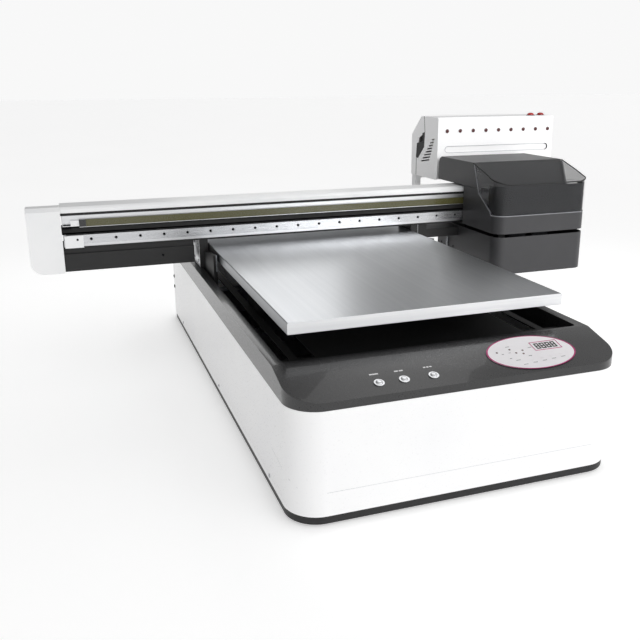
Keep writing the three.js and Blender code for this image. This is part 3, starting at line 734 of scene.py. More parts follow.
# ---------------------------------------------------------------- control panel
@dataclass
class ControlPanel(SubAssembly):
    """The buttons, their marks and the oval overlay on the lid's front slope."""

    rise: float = 33
    run: float = 128
    lip: float = 248
    button_x: tuple[float, ...] = (180, 231, 292)
    button_y: float = 34
    cap_radius: float = 6.2
    bezel_radius: float = 10.5
    crown: tuple[Span, ...] = ((0.7, 0.45), (1.3, 0.3), (2.0, 0.12))
    mark_y: float = 60
    mark_width: float = 20
    mark_gap: float = 1.8
    oval: Span = (526, 64)
    oval_half: Span = (99, 55.5)
    window: Span = (569, 79)
    window_half: Span = (32, 15)
    window_line: float = 1.7
    digits: int = 4
    first_digit: float = -19.2
    digit_pitch: float = 12.8
    overlay_top: float = 1.55
    lamps: tuple[Span, ...] = ((452, 74), (484, 79), (492, 66), (510, 72), (506, 61))
    strokes: tuple[Point, ...] = (
        (480, 88, 9), (459, 66, 5), (476, 68, 5), (468, 50, 5), (512, 51, 8), (526, 77, 8), (478, 42, 10),
    )
    keys: int = 5
    first_key: Span = (491, 30)
    key_step: Span = (23, 2.2)

    def __post_init__(self) -> None:
        """Works out the slope's angle."""
        self.angle = math.atan2(self.rise, self.run)

    def build(self) -> None:
        """Builds the three buttons and the overlay."""
        for name, x in zip(("suction", "lamp", "power"), self.button_x):
            self.button(name, x)
        self.button_marks()
        self.overlay()
        self.display()
        self.indicators()
        self.marks()
        self.key_domes()

    def lay(self, piece: Piece) -> Piece:
        """Turns a piece modelled flat at the lip's height onto the slope."""
        hinge = datum.at(0, 0, self.lip)
        turn = Matrix.Rotation(self.angle, 4, "X")
        piece.matrix_world = Matrix.Translation(hinge) @ turn @ Matrix.Translation(-hinge)
        bench.focus(piece)
        bpy.ops.object.transform_apply(location=True, rotation=True, scale=True)
        return piece

    def along(self, y: float) -> float:
        """The distance up the slope of a place at this depth from the front."""
        return y / math.cos(self.angle)

    def bar(self, name: str, x: Span, y: Span, z: Span) -> Piece:
        """Models one thin printed bar on the flat, with rounded corners.

        Args:
            name: the piece's name.
            x: left and right in millimetres.
            y: lower and upper edge along the slope.
            z: bottom and top above the slope.

        Returns:
            The bar.
        """
        piece = bench.block(name, x, y, (self.lip + z[0], self.lip + z[1]))
        width = min(x[1] - x[0], y[1] - y[0]) * 0.2 * MM
        bench.apply(piece, "BEVEL", width=width, segments=2, affect="EDGES")
        return piece

    def button(self, name: str, x: float) -> None:
        """Models one push button: a domed chrome cap in a chrome bezel."""
        y = self.along(self.button_y)
        bezel = bench.rod(f"{name}_bezel", (x, y, self.lip + 1.0), self.bezel_radius, 2.0, Axis.Z, 48)
        bore = bench.rod("bore", (x, y, self.lip + 1.0), self.cap_radius + 0.4, 6.0, Axis.Z, 48)
        bench.carve(bezel, bore)
        bench.soften(bezel, 0.5, 3)
        bench.finish(self.lay(bezel), CHROME, slot="chrome_button")
        node = f"{name}_button"
        cap = bench.rod(f"{name}_cap", (x, y, self.lip - 0.95), self.cap_radius, 8.1, Axis.Z, 48)
        bench.crown(cap, (0, 0, 1), self.crown)
        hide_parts(node)
        bench.finish(self.lay(cap), CHROME, body_of(node), "chrome_button")

    def button_marks(self) -> None:
        """Prints plain strokes behind each button: one, two or three in a row."""
        y = self.along(self.mark_y)
        strokes = []
        for count, x in enumerate(self.button_x, start=1):
            pitch = self.mark_width / count
            for place in range(count):
                left = x - 9 + place * pitch
                span = (left, left + pitch - self.mark_gap)
                strokes.append(self.bar("stroke", span, (y, y + 3.8), (0.02, 0.16)))
        bench.finish(self.lay(bench.merge("button_marks", strokes)), PALE_INK)

    def overlay(self) -> None:
        """Dresses the oval overlay and prints its border."""
        self.rounded("membrane_panel", OVERLAY, "membrane_white", 0.3)
        bench.clear()
        middle = datum.at(self.oval[0], self.along(self.oval[1]), self.lip + self.overlay_top)
        ring = {"major_segments": 96, "minor_segments": 8, "major_radius": 0.985, "minor_radius": 0.017}
        bpy.ops.mesh.primitive_torus_add(location=middle, **ring)
        border = bench.named("overlay_border")
        scale = Matrix.Diagonal((self.oval_half[0] * MM, self.oval_half[1] * 1.03 * MM, 14 * MM, 1))
        border.data.transform(Matrix.Translation(middle) @ scale @ Matrix.Translation(-middle))
        bench.smooth(border, 60)
        bench.finish(self.lay(border), MAGENTA_INK)

    def display(self) -> None:
        """Prints the display's frame and models its four digits."""
        x, y = self.window[0], self.along(self.window[1])
        (wide, high), line = self.window_half, self.window_line
        z = (self.overlay_top - 0.1, self.overlay_top + 0.3)
        sides = [
            self.bar("window", (x - wide, x + wide), (low, low + line), z)
            for low in (y - high, y + high - line)
        ]
        sides += [
            self.bar("window", (left, left + line), (y - high, y + high), z)
            for left in (x - wide, x + wide - line)
        ]
        bench.finish(self.lay(bench.merge("display_frame", sides)), MAGENTA_INK)
        middles = [x + self.first_digit + place * self.digit_pitch for place in range(self.digits)]
        digits = bench.merge("display_digits", [self.digit(middle, y, z) for middle in middles])
        bench.finish(self.lay(digits), BLACK_INK)

    def digit(self, x: float, y: float, z: Span) -> Piece:
        """Models one seven-segment digit with every segment dark.

        Args:
            x: its middle in millimetres.
            y: its middle along the slope.
            z: bottom and top above the slope.

        Returns:
            The digit.
        """
        wide, high, half = 5.3, 9.6, 1.5
        parts = [
            self.bar("segment", (x - wide, x + wide), (level - half, level + half), z)
            for level in (y - high + half, y, y + high - half)
        ]
        for edge in (x - wide + half, x + wide - half):
            for span in ((y - high + 1, y - 0.6), (y + 0.6, y + high - 1)):
                parts.append(self.bar("segment", (edge - half, edge + half), span, z))
        return bench.join(*parts)

    def indicators(self) -> None:
        """Adds the overlay's indicator dots."""
        dots = []
        for x, y in self.lamps:
            dot = bench.rod("lamp", (x, self.along(y), self.lip + self.overlay_top), 2.3, 0.7, Axis.Z, 20)
            bench.apply(dot, "BEVEL", width=0.2 * MM, segments=2, limit_method="ANGLE")
            dots.append(dot)
        bench.finish(self.lay(bench.merge("overlay_indicators", dots)), DARK_RED_LENS)

    def key_row(self) -> list[Span]:
        """Each key's middle across, and the height of its foot along the slope."""
        (x, y), (right, up) = self.first_key, self.key_step
        return [(x + place * right, self.along(y + place * up)) for place in range(self.keys)]

    def marks(self) -> None:
        """Prints the overlay's small strokes and one under each key."""
        z = (self.overlay_top, self.overlay_top + 0.15)
        strokes = []
        for x, depth, wide in self.strokes:
            y = self.along(depth)
            strokes.append(self.bar("stroke", (x, x + wide), (y, y + 1.3), z))
        for x, y in self.key_row():
            strokes.append(self.bar("stroke", (x - 5, x + 5), (y - 3.6, y - 2.4), z))
        bench.finish(self.lay(bench.merge("overlay_marks", strokes)), GREY_INK)

    def key_domes(self) -> None:
        """Adds the row of keys along the overlay's lower edge."""
        domes = []
        for x, y in self.key_row():
            dome = bench.rod("dome", (x, y + 4, self.lip + self.overlay_top + 0.1), 4.2, 0.5, Axis.Z, 28)
            bench.apply(dome, "BEVEL", width=0.3 * MM, segments=2, limit_method="ANGLE")
            domes.append(dome)
        keys = bench.smooth(bench.merge("overlay_keys", domes), 50)
        bench.finish(self.lay(keys), OVERLAY, slot="membrane_white")


# ---------------------------------------------------------------- bed and its drive
@dataclass
class BedDrive(SubAssembly):
    """The print bed and the drive inside the cabinet that moves it."""

    def build(self) -> None:
        """Builds the plate, with a painted reflection brightening its front edge, and dresses the drive's
        nodes.
        """
        plate = self.rounded("bed_plate", BED_BRUSHED, "bed_aluminium", 0.7, 3)
        plate.data.materials.append(BED_EDGE_REFLECTION.material())
        # Faces turned to the front take the brighter copy of the metal: a painted reflection.
        for face in plate.data.polygons:
            if face.normal.y < -0.7:
                face.material_index = 1
        self.rounded("deck_plate", BLACK_MATT_AND_SHADE, "black_paint", 0.6)
        self.rounded("bed_motor", DARK_STEEL, "dark_steel", 1.5, 3)
        self.rounded("bed_screw_support", CAST_ALUMINIUM, "cast_aluminium", 0.8)
        self.rounded("lift_frame", BLACK_POWDER, "black_paint", 0.8)
        self.dress(ZINC_STEEL, "chassis_frame")
        self.dress(GROUND_STEEL_Y, "bed_rail_left", "bed_rail_right", "bed_screw")
        self.dress(GROUND_STEEL, "lift_screw_left", "lift_screw_right")
        self.dress(CAST_ALUMINIUM, "bed_bearing_left", "bed_bearing_right", "bed_carriage_plate")


# ---------------------------------------------------------------- rear of the cabinet
@dataclass
class RearServices(SubAssembly):
    """The rear panel with its inlet, switch, vents and screws."""

    screw_inset: float = 14
    vent_pitch: float = 9
    vent_width: float = 3.2
    vents: int = 12
    contacts: tuple[Span, ...] = ((-7, -3), (7, -3), (0, 3))

    def build(self) -> None:
        """Builds the panel with its louvres and dresses the inlet and switch."""
        a, b = datum.drawn(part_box("rear_panel"))
        panel = bench.copy_of("rear_panel", "rear_panel_shaped")
        across = (a.x + 60, a.x + 60 + self.vent_width)
        vent = bench.block("vents", across, (b.y - 2, b.y + 2), (a.z + 30, b.z - 30))
        bench.carve(panel, bench.repeat(vent, [(self.vent_pitch * n, 0, 0) for n in range(1, self.vents)]))
        bench.finish(bench.soften(panel, 0.6), BLACK_POWDER, slot="black_paint")
        inset = self.screw_inset
        across, up = b.x - a.x - 2 * inset, b.z - a.z - 2 * inset
        steps = [(across, 0, 0), (0, 0, up), (across, 0, up)]
        first = (a.x + inset, b.y, a.z + inset)
        self.screws("rear_screws", first, (4, 1.6), (Axis.Y, 1), ZINC_BRIGHT, steps)
        self.rounded("mains_inlet", BLACK_GLOSS, "rubber", 0.6)
        self.rounded("main_switch", RED_ACRYLIC, "red_plastic", 0.6)
        self.pins()

    def pins(self) -> None:
        """Stands three flat contacts in the inlet."""
        a, b = datum.drawn(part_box("mains_inlet"))
        blades = []
        for x, z in self.contacts:
            left, bottom = (a.x + b.x) / 2 + x - 1, (a.z + b.z) / 2 + z - 2
            blade = bench.block("blade", (left, left + 2), (b.y - 14, b.y - 3), (bottom, bottom + 4))
            bench.apply(blade, "BEVEL", width=0.4 * MM, segments=2)
            blades.append(blade)
        bench.finish(bench.merge("inlet_contacts", blades), BRASS)


# ---------------------------------------------------------------- gantry
@dataclass
class Gantry(SubAssembly):
    """The fixed beam with its rail, encoder strip, belt, end covers and uprights."""

    front: float = 952
    left: float = -345.7
    right: float = 1192.7
    rail_front: float = 938
    rail_z: Span = (377, 400)
    hole_pitch: float = 64
    first_hole: float = -273
    holes: int = 23
    hole_radius: float = 3.9
    seal_z: Span = (450.8, 458)
    lower_z: Span = (362, 366.4)
    channel_z: Span = (400, 421)
    channel_rear: float = 988

    def build(self) -> None:
        """Builds the beam and everything on it."""
        self.rounded("beam_extrusion", ANODISED, "cast_aluminium", 0.6)
        self.rounded("beam_top_plate", WHITE_SATIN, "white_enamel", 1.2, 3)
        self.rounded("under_beam_cover", BLACK_POWDER, "black_paint", 0.8)
        self.rounded("cable_duct", BLACK_POWDER, "black_paint", 0.8)
        for side in Side:
            self.rounded(f"end_cover_{side.word}", WHITE_SATIN, "white_enamel", 1.6, 3)
        self.rounded("encoder_clamp", BLACK_GLOSS, "black_gloss", 0.6)
        self.rounded("beam_motor", DARK_STEEL, "dark_steel", 1.5, 3)
        self.dress(ENCODER_FILM, "encoder_strip")
        self.dress(RUBBER, "drive_belt")
        self.dress(CAST_ALUMINIUM, "idle_pulley", "drive_pulley")
        self.rail()
        self.seals()
        self.strip_fittings()
        self.cover_screws()
        for side in Side:
            self.upright(side)

    def rail(self) -> None:
        """Bores the guide rail and sets its socket screws."""
        middle = sum(self.rail_z) / 2 - 0.5
        steps = [(self.hole_pitch * n, 0, 0) for n in range(1, self.holes)]
        piece = bench.copy_of("guide_rail", "guide_rail_shaped")
        hole = (self.first_hole, self.rail_front, middle)
        bench.carve(piece, bench.repeat(bench.rod("bore", hole, self.hole_radius, 8, Axis.Y, 24), steps))
        bench.finish(bench.soften(piece, 0.5), GROUND_STEEL, slot="ground_steel")
        seat = (self.first_hole, self.rail_front + 3.9, middle)
        self.screws("rail_screws", seat, (3.2, 1.6), (Axis.Y, -1), BLACK_OXIDE, steps)

    def seals(self) -> None:
        """Adds dark strips over, in and under the beam's front: painted shadow in the gap under the top
        plate, painted shade lining the front channel, and a dark strip under the beam.
        """
        across = (self.left, self.right)
        # Painted shade: a matt black liner in the front channel.
        channel_shade = bench.block("channel_liner", across, (self.front + 1, self.channel_rear), self.channel_z)
        bench.pick(channel_shade, lambda face: face.normal.y < -0.9 or abs(face.normal.x) > 0.9)
        bpy.ops.mesh.delete(type="FACE")
        bench.done_editing()
        bench.apply(channel_shade, "SOLIDIFY", thickness=-0.8 * MM, offset=1.0)
        bench.finish(channel_shade, BLACK_MATT_AND_SHADE)
        depth = (self.front - 2.4, self.front + 1)
        # Painted shadow: a dark strip in the gap under the top plate.
        self.plate("upper_seal", (across, depth, self.seal_z), 0.5, JOINT_AND_SHADE_BLACK)
        self.plate("lower_seal", (across, depth, self.lower_z), 0.5, JOINT_AND_SHADE_BLACK)

    def strip_fittings(self) -> None:
        """Adds the encoder strip's ledge, its clips and the white bracket that holds its end."""
        ledge = ((-300, 1190), (self.front - 7.4, self.front), (419.4, 420.7))
        self.plate("strip_ledge", ledge, 0.3, ANODISED)
        bracket = bench.block("strip_bracket", (-322, -300.4), (self.front - 9, self.front), (423, 438))
        bench.pick(bracket, lambda face: face.normal.y < -0.9)
        bpy.ops.mesh.inset(thickness=2.5 * MM)
        bench.extrude((0, 3, 0))
        bench.done_editing()
        bench.finish(bench.soften(bracket, 0.7), WHITE_SATIN, slot="white_enamel")
        clip = bench.block("strip_clips", (-338, -320), (self.front - 6, self.front), (424.5, 427.5))
        bench.pick(clip, lambda face: face.normal.x < -0.9)
        bench.extrude((-4, 0, 0))
        bpy.ops.transform.resize(value=(1, 0.6, 0.4))
        bench.done_editing()
        clip = bench.repeat(clip, [(0, 0, -9), (0, 0, -39)])
        bench.finish(bench.soften(clip, 0.5), BLACK_OXIDE)

    def cover_screws(self) -> None:
        """Adds the screws of the end covers and of the cover under the left overhang."""
        for side, x, outer in ((Side.LEFT, -362, -54), (Side.RIGHT, 1212, 34)):
            steps = [(outer, 0, 0), (0, 0, 105), (outer, 0, 105)]
            name = f"cover_screws_{side.word}"
            self.screws(name, (x, 1075, 330), (4, 1.6), (Axis.Y, 1), ZINC_BRIGHT, steps)
        plate = ((-340.5, -293), (936.4, 938), (366, 399))
        self.plate("rail_end_plate", plate, 0.6, WHITE_SATIN, slot="white_enamel")
        self.screws("rail_end_screw", (-308, 936.4, 388), (2.8, 1.0), (Axis.Y, -1), BLACK_OXIDE)
        self.screws("apron_screw", (-87, 946, 328), (3.4, 1.4), (Axis.Y, -1), BLACK_OXIDE)

    def upright(self, side: Side) -> None:
        """Builds one of the two uprights with its bright side plate, its corner block and its screws."""
        name = f"upright_{side.word}"
        self.rounded(name, BLACK_POWDER, "black_paint", 0.6)
        for part, ends, y, z, width, finish in (
            ("plate", (14.6, 16), (953, 1044), (282, 363), 0.5, ANODISED),
            ("edge", (34.6, 37.6), (814.2, 815.4), (300, 344.6), 0.4, ZINC_STEEL),
        ):
            x = tuple(sorted(side.across(end) for end in ends))
            self.plate(f"{name}_{part}", (x, y, z), width, finish)
        centre, way = (side.across(14.6), 968, 300), (Axis.X, side.value)
        steps = [(0, 60, 0), (0, 0, 44), (0, 60, 44)]
        self.screws(f"{name}_screws", centre, (4, 2), way, ZINC_BRIGHT, steps)


# ---------------------------------------------------------------- print carriage
@dataclass
class Carriage(SubAssembly):
    """The print carriage: tray, rear housing, smoked hood, heads and lamp."""

    left: float = 840
    right: float = 1152
    front: float = 733
    radius: float = 35
    hood_base: float = 411.2
    hood_wall: float = 2.8
    bend: tuple[Span, ...] = ((881, 551), (813, 530), (790, 522.2))
    foot: tuple[Span, ...] = ((880, 549), (846, 468), (844, 464), (775, 421), (770, 412.5))
    foot_inset: float = 1.0
    bevel: tuple[Span, ...] = ((845, 468), (879, 548.5), (869, 545.5), (833, 462))
    film_clear: float = 2.7
    film_z: Span = (411.6, 497)

    def build(self) -> None:
        """Builds the covers, the hood with its edges and the heads' details."""
        self.rounded("carriage_tray", CARRIAGE_ABS, "carriage_black", 1.4, 3)
        self.rounded("carriage_rear_housing", CARRIAGE_ABS, "carriage_black", 2.2, 3)
        self.rounded("smoked_hood", SMOKED, "smoked_clear", 0.9, 2)
        self.rounded("carriage_back_plate", CAST_ALUMINIUM, "cast_aluminium", 0.6)
        self.rounded("carriage_bearing", CAST_ALUMINIUM, "cast_aluminium", 0.8)
        for node in ("printhead_left", "printhead_right"):
            self.head(node)
        self.lamp()
        self.dark_film()
        self.hood_edges()

    def dark_film(self) -> None:
        """Lines the hood's front with a dark film that runs back round both corners."""
        clear = self.film_clear
        x, y = (self.left + clear, self.right - clear), (self.front + clear, self.front + 57)
        film = bench.block("hood_dark_film", x, y, self.film_z)
        bench.pick(film, lambda face: face.normal.y > 0.9 or abs(face.normal.z) > 0.9)
        bpy.ops.mesh.delete(type="FACE")
        bench.pick(film, lambda edge: len(edge.link_faces) == 2, Part.EDGE)
        bpy.ops.mesh.bevel(offset=(self.radius - clear) * MM, segments=10, affect="EDGES")
        bpy.ops.mesh.select_all(action="SELECT")
        foot = datum.at(0, self.front + 24, self.film_z[0])
        bpy.ops.mesh.bisect(plane_co=foot, plane_no=(0, 0.68, -1), clear_outer=True)
        bench.done_editing()
        bench.apply(film, "SOLIDIFY", thickness=0.4 * MM, offset=-1.0)
        bench.finish(bench.smooth(film, 40), DARK_FILM, "hood")

    def left_corner(self, z_from: float, z_to: float, steps: int = 5) -> list[Point]:
        """Points in millimetres round the front left corner, from its side to its front.

        Args:
            z_from: height where the side ends.
            z_to: height where the front begins.
            steps: how many steps the quarter turn has.

        Returns:
            The points.
        """
        points = []
        for step in range(steps + 1):
            turn = math.pi / 2 * step / steps
            x = self.left + self.radius - self.radius * math.cos(turn)
            y = self.front + self.radius - self.radius * math.sin(turn)
            points.append((x, y, z_from + (z_to - z_from) * step / steps))
        return points

    def mirrored(self, points: Iterable[Point]) -> list[Point]:
        """The same points on the carriage's other side."""
        return [(self.left + self.right - x, y, z) for x, y, z in points]

    def hood_edges(self) -> None:
        """Trims the hood with painted light: a dark line of painted shade along its bend, and pale painted
        highlights on the polished edge along its foot, round its front rim and on its rear bevels.
        """
        bend = [(self.left, y, z) for y, z in self.bend] + self.left_corner(514, 502.4)
        # Painted shade: a dark bead where the sheet bends.
        line = bench.tube("hood_bend_line", bend + self.mirrored(reversed(bend)), 2.0)
        bench.finish(line, JOINT_AND_SHADE_BLACK, "hood")
        # Painted highlight: pale beads along the hood's foot.
        foot = [(self.left + self.foot_inset, y, z) for y, z in self.foot]
        feet = [bench.tube("hood_foot", points, 1.8) for points in (foot, self.mirrored(foot))]
        bench.finish(bench.merge("hood_polished_edges", feet), HOOD_EDGE_HIGHLIGHT, "hood")
        # Painted highlight: pale half clear strips inside the hood's rear edges.
        strip = [(self.left + self.hood_wall, y, z) for y, z in self.bevel]
        bevels = [
            bench.sheet("hood_rear_bevel", outline, (thickness, 0, 0))
            for outline, thickness in ((strip, 0.5), (self.mirrored(strip), -0.5))
        ]
        bevel = bench.soften(bench.merge("hood_rear_bevels", bevels), 0.15)
        bench.finish(bevel, HOOD_BEVEL_HIGHLIGHT, "hood")
        # Painted highlight: a pale bead round the hood's front rim.
        rim = self.left_corner(self.hood_base, self.hood_base)
        rim = bench.tube("hood_front_rim", rim + self.mirrored(reversed(rim)), 1.5)
        bench.finish(rim, HOOD_EDGE_HIGHLIGHT, "hood")

    def head(self, node: str) -> None:
        """Dresses one print head and adds its nipples and its clamp."""
        self.rounded(node, DARK_STEEL, "dark_steel", 0.8)
        a, b = datum.drawn(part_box(node))
        nipples = []
        for row in range(4):
            nipple = bench.rod("nipple", (a.x + 18 + row * 8, 825, b.z + 4), 2.2, 8, Axis.Z, 16)
            bench.pick(nipple, lambda face: face.normal.z > 0.99)
            bpy.ops.mesh.inset(thickness=0.8 * MM)
            bench.extrude((0, 0, 2))
            bench.done_editing()
            nipples.append(nipple)
        row = bench.smooth(bench.merge(f"{node}_nipples", nipples), 50)
        bench.finish(row, BLACK_OXIDE, "print_carriage")
        clamp = ((a.x - 3, b.x + 3), (796, 799.6), (392, 404))
        self.plate(f"{node}_clamp", clamp, 0.8, DARK_STEEL, "print_carriage")

    def lamp(self) -> None:
        """Builds the lamp's finned body and its quartz window."""
        a, b = datum.drawn(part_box("uv_lamp"))
        body = bench.copy_of("uv_lamp", "uv_lamp_shaped")
        slot = bench.block("slots", (a.x - 2, a.x + 8), (a.y + 6, a.y + 10), (a.z + 30, b.z + 2))
        bench.carve(body, bench.repeat(slot, [(0, 8 * n, 0) for n in range(1, 12)]))
        bench.soften(body, 0.5)
        bench.finish(body, CAST_ALUMINIUM, "print_carriage", "cast_aluminium")
        window = ((a.x + 8, b.x - 8), (a.y + 12, b.y - 12), (a.z - 0.6, a.z + 0.4))
        self.plate("lamp_window", window, 0.3, LAMP_WINDOW, "print_carriage")


# ---------------------------------------------------------------- capping station
@dataclass
class CappingStation(SubAssembly):
    """The box under the parked carriage, with its cap sled and wiper."""

    pin: Point = (838, 1028, 283)
    screw: Point = (840, 990, 276)

    def build(self) -> None:
        """Builds the box, the caps, the wiper blade, the locating pin and the screws."""
        self.rounded("capping_tray", CARRIAGE_ABS, "carriage_black", 1.6, 3)
        self.rounded("capping_hanger", BLACK_POWDER, "black_paint", 0.8)
        self.rounded("cap_sled", DARK_STEEL, "dark_steel", 0.8)
        self.rounded("wiper", RUBBER, "rubber", 0.5)
        pin = bench.rod("tray_pin", self.pin, 3.6, 36, Axis.Z, 24)
        bench.finish(bench.soften(pin, 0.8), ZINC_BRIGHT)
        self.screws("tray_screws", self.screw, (3.4, 1.4), (Axis.X, -1), BLACK_OXIDE, [(0, 80, 0)])


# ---------------------------------------------------------------- ink supply
@dataclass
class InkSupply(SubAssembly):
    """The ink box behind the carriage, its rack, bracket and two red buttons."""

    left: float = 839
    front: float = 1120
    top: float = 674
    dot_z: float = 630.5
    dots: int = 9
    first_dot: float = 872
    last_dot: float = 1256
    dot_radius: float = 6
    recess_x: Span = (866, 1260)
    recess_z: Span = (560, 582)
    recess_radius: float = 10.5
    recess_depth: float = 2.3
    vents: int = 8
    joint: tuple[Span, ...] = ((1224, 674.2), (1216, 622.6))
    low_joint: tuple[Span, ...] = ((1278, 540), (1278, 474))
    notch: tuple[Span, ...] = (
        (1216, 622.6), (1235, 618), (1229.5, 592), (1276, 582),
        (1281, 533.5), (1265, 531.5), (1220.5, 572.5),
    )
    dome: tuple[Span, ...] = ((0.10, 0.14), (0.16, 0.09), (0.22, 0.05), (0.24, 0.03))

    def build(self) -> None:
        """Builds the box with its openings and marks, and dresses the rest."""
        self.box()
        self.recess_edge()
        self.indicator_row()
        self.split_panel()
        self.rounded("ink_bracket", WHITE_SATIN, "white_enamel", 0.8)
        self.rounded("ink_tank_rack", TANK_PLASTIC, "tank_plastic", 1.5, 3)
        for side in Side:
            self.stop_button(f"stop_button_{side.word}")

    def box(self) -> None:
        """Cuts the slanting vents through the left side, and presses the front's long recess."""
        piece = bench.copy_of("ink_housing", "ink_housing_shaped")
        turn = Matrix.Rotation(math.radians(-9), 4, "X")
        slots = []
        for row in range(self.vents):
            share = row / (self.vents - 1)
            z = 602 - share * 73
            low, high = 1145 + share * 32, 1165 + share * 76
            slot = bench.block("slot", (self.left - 3, self.left + 6), (low, high), (z - 2.3, z + 2.3))
            middle = datum.at(self.left, (low + high) / 2, z)
            slot.data.transform(Matrix.Translation(middle) @ turn @ Matrix.Translation(-middle))
            slots.append(slot)
        bench.carve(piece, bench.join(*slots))
        depth = (self.front - 2, self.front + self.recess_depth)
        groove = bench.block("groove", self.recess_x, depth, self.recess_z)
        # Only the edges that run from front to rear are rounded.
        bench.pick(groove, lambda edge: edge.verts[0].co.xz == edge.verts[1].co.xz, Part.EDGE)
        bpy.ops.mesh.bevel(offset=self.recess_radius * MM, segments=8, affect="EDGES")
        bench.done_editing()
        bench.carve(piece, groove)
        bench.finish(bench.soften(piece, 1.0, 3), WHITE_ENAMEL, slot="white_enamel")

    def recess_edge(self) -> None:
        """Paints shade along the recess's pressed edge as a grey bead, with a darker bead of painted shade
        at its right end, whose inner wall lies in shade.
        """
        radius, middle = self.recess_radius, sum(self.recess_z) / 2
        right = []
        for step in range(9):
            turn = math.pi * (step / 8 - 0.5)
            x = self.recess_x[1] - radius + radius * math.cos(turn)
            right.append((x, self.front - 0.1, middle + radius * math.sin(turn)))
        left = [(sum(self.recess_x) - x, y, z) for x, y, z in reversed(right)]
        # Painted shade: a grey bead round the recess's edge, and a dark one where its right end wall lies
        # in shade.
        bench.finish(bench.tube("recess_edge", right + left + right[:1], 0.9), PRESSED_EDGE_SHADE)
        bench.finish(bench.tube("recess_end", [(x - 1.2, y, z) for x, y, z in right], 1.2), JOINT_AND_SHADE_BLACK)

    def indicator_row(self) -> None:
        """Sets the row of dark red lenses across the front."""
        pitch = (self.last_dot - self.first_dot) / (self.dots - 1)
        centre = (self.first_dot, self.front - 0.6, self.dot_z)
        lens = bench.rod("ink_lenses", centre, self.dot_radius, 1.8, Axis.Y, 32)
        bench.crown(lens, (0, -1, 0), [(1.6, 0.6)])
        bench.finish(bench.repeat(lens, [(pitch * n, 0, 0) for n in range(1, self.dots)]), DARK_RED_LENS)

    def split_panel(self) -> None:
        """Draws the joint line between the side's front and rear sheet, and the notch in it as a black
        patch of painted shade.
        """
        seams = [
            bench.tube("ink_side_joint", [(self.left - 0.1, y, z) for y, z in line], 0.9)
            for line in (self.joint, self.low_joint)
        ]
        bench.finish(bench.join(*seams), JOINT_AND_SHADE_BLACK)
        outline = [(self.left + 1.5, y, z) for y, z in self.notch]
        # Painted shade: a black sheet over the notch's opening.
        notch = bench.sheet("ink_side_notch", outline, (-2.2, 0, 0))
        bench.finish(bench.soften(notch, 0.4), BLACK_MATT_AND_SHADE)

    def stop_button(self, node: str) -> None:
        """Models one red button, which stands for its CAD node, as a dome on a collar."""
        a, b = datum.drawn(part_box(node))
        x, y = (a.x + b.x) / 2, (a.y + b.y) / 2
        radius, height = (b.x - a.x) / 2 * 0.8, b.z - a.z
        dome = bench.rod(f"{node}_dome", (x, y, a.z + height * 0.25), radius, height * 0.5, Axis.Z, 40)
        bench.crown(dome, (0, 0, 1), [(inset * radius, lift * height) for inset, lift in self.dome])
        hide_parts(node)
        bench.finish(dome, RED_ACRYLIC, body_of(node), "red_plastic")
        collar = bench.rod(f"{node}_collar", (x, y, self.top + 0.8), radius + 2.5, 1.6, Axis.Z, 40)
        bench.finish(bench.soften(collar, 0.6), BLACK_GLOSS)


# ---------------------------------------------------------------- studio
@dataclass(frozen=True)
class Softbox:
    """A square softbox that hangs at a place in metres, with its power in watts."""

    name: str
    place: Point
    aim: Point
    size: float
    power: float
    spread: float = 180

    def hang(self) -> None:
        """Adds the lamp, turned to the point that it faces."""
        data = bpy.data.lights.new(self.name, "AREA")
        data.size = self.size
        data.energy = self.power
        data.spread = math.radians(self.spread)
        lamp = bpy.data.objects.new(self.name, data)
        lamp.location = self.place
        way = Vector(self.aim) - Vector(self.place)
        lamp.rotation_euler = way.to_track_quat("-Z", "Y").to_euler()
        lamp.visible_camera = False
        bpy.context.scene.collection.objects.link(lamp)


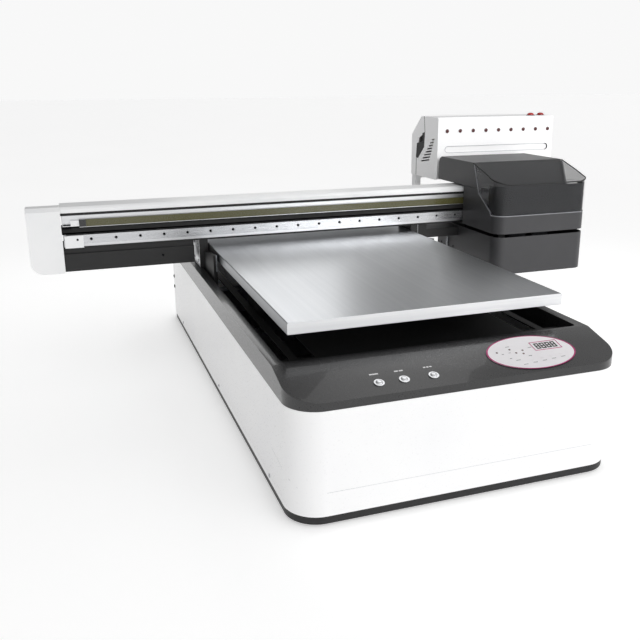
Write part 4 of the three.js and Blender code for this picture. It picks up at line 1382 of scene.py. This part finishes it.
@dataclass
class Studio:
    """The pale floor, soft lights and the camera, whose place is a drawing point in millimetres."""

    lens: float = 43.67
    place: Point = (-345.6, -1198.2, 800)
    pitch: float = 16.062
    yaw: float = -19.735
    roll: float = -0.12
    shift: Span = (-0.0257, -0.0297)
    room: float = 0.82
    right_gain: float = 0.36
    back_gain: float = -0.42
    zenith_gain: float = -0.40
    least: float = 0.16
    floor_glow: float = 0.44
    backdrop: float = 0.94
    lamps: tuple[Softbox, ...] = (
        Softbox("key_light", (1.6, -3.4, 1.9), (0.1, 0.0, 0.3), 2.4, 12.0),
        Softbox("rear_light", (0.1, 1.5, 1.25), (-0.3, -0.4, 0.35), 0.8, 4.4),
        Softbox("high_light", (0.9, -2.0, 1.35), (0.6, 0.3, 0.6), 0.9, 2.4, 50),
        Softbox("panel_light", (0.75, 0.78, 2.1), (-0.1, -0.7, 0.26), 0.8, 1.9),
    )

    def build(self) -> None:
        """Sets the floor, the room's light, the lamps and the camera."""
        self.floor()
        self.world()
        for lamp in self.lamps:
            lamp.hang()
        self.camera()

    def floor(self) -> None:
        """Lays a wide pale floor."""
        bench.clear()
        bpy.ops.mesh.primitive_plane_add(size=60, location=(0, 0, -0.0006))
        piece = bench.named("studio_floor")
        made = PALE_FLOOR.material()
        shader = made.node_tree.nodes["Principled BSDF"]
        shader.inputs["Emission Color"].default_value = (1, 1, 1, 1)
        shader.inputs["Emission Strength"].default_value = self.floor_glow
        piece.data.materials.append(made)

    def world(self) -> None:
        """Fills the room with soft white, brightest in front and dimmer overhead and on the left."""
        room = bpy.data.worlds.new("studio_room")
        room.use_nodes = True
        tree = room.node_tree
        coordinates = add_node(tree, "ShaderNodeTexCoord")
        way = add_node(tree, "ShaderNodeSeparateXYZ", inputs={0: coordinates.outputs["Generated"]})
        total = self.room
        for socket, share in (("X", self.right_gain), ("Y", self.back_gain), ("Z", self.zenith_gain)):
            inputs = {0: way.outputs[socket], 1: share, 2: total}
            total = add_node(tree, "ShaderNodeMath", {"operation": "MULTIPLY_ADD"}, inputs).outputs[0]
        level = add_node(tree, "ShaderNodeMath", {"operation": "MAXIMUM"}, {0: total, 1: self.least})
        # The paper behind the machine is seen white; everything else is lit by the graded room.
        eye = add_node(tree, "ShaderNodeLightPath")
        inputs = {0: eye.outputs["Is Camera Ray"], 2: level.outputs[0], 3: self.backdrop}
        seen = add_node(tree, "ShaderNodeMix", {"data_type": "FLOAT"}, inputs)
        backing = tree.nodes["Background"]
        backing.inputs["Color"].default_value = (1, 1, 1, 1)
        tree.links.new(seen.outputs[0], backing.inputs["Strength"])
        bpy.context.scene.world = room

    def camera(self) -> None:
        """Places the camera."""
        data = bpy.data.cameras.new("camera")
        data.lens = self.lens
        data.shift_x, data.shift_y = self.shift
        camera = bpy.data.objects.new("camera", data)
        camera.location = datum.at(*self.place)
        turn = Matrix.Identity(4)
        for angle, axis in ((self.yaw, "Z"), (90 - self.pitch, "X"), (self.roll, "Z")):
            turn = turn @ Matrix.Rotation(math.radians(angle), 4, axis)
        camera.rotation_euler = turn.to_euler()
        bpy.context.scene.collection.objects.link(camera)
        bpy.context.scene.camera = camera
        bpy.context.scene.view_settings.view_transform = "Standard"


def main() -> None:
    """Builds every sub-assembly in order."""
    logging.basicConfig(level=logging.INFO, format="%(message)s")
    Studio().build()
    for kind in (
        Cabinet, ControlPanel, BedDrive, RearServices, Gantry, Carriage, CappingStation, InkSupply,
    ):
        kind().build()


if __name__ == "__main__":
    main()
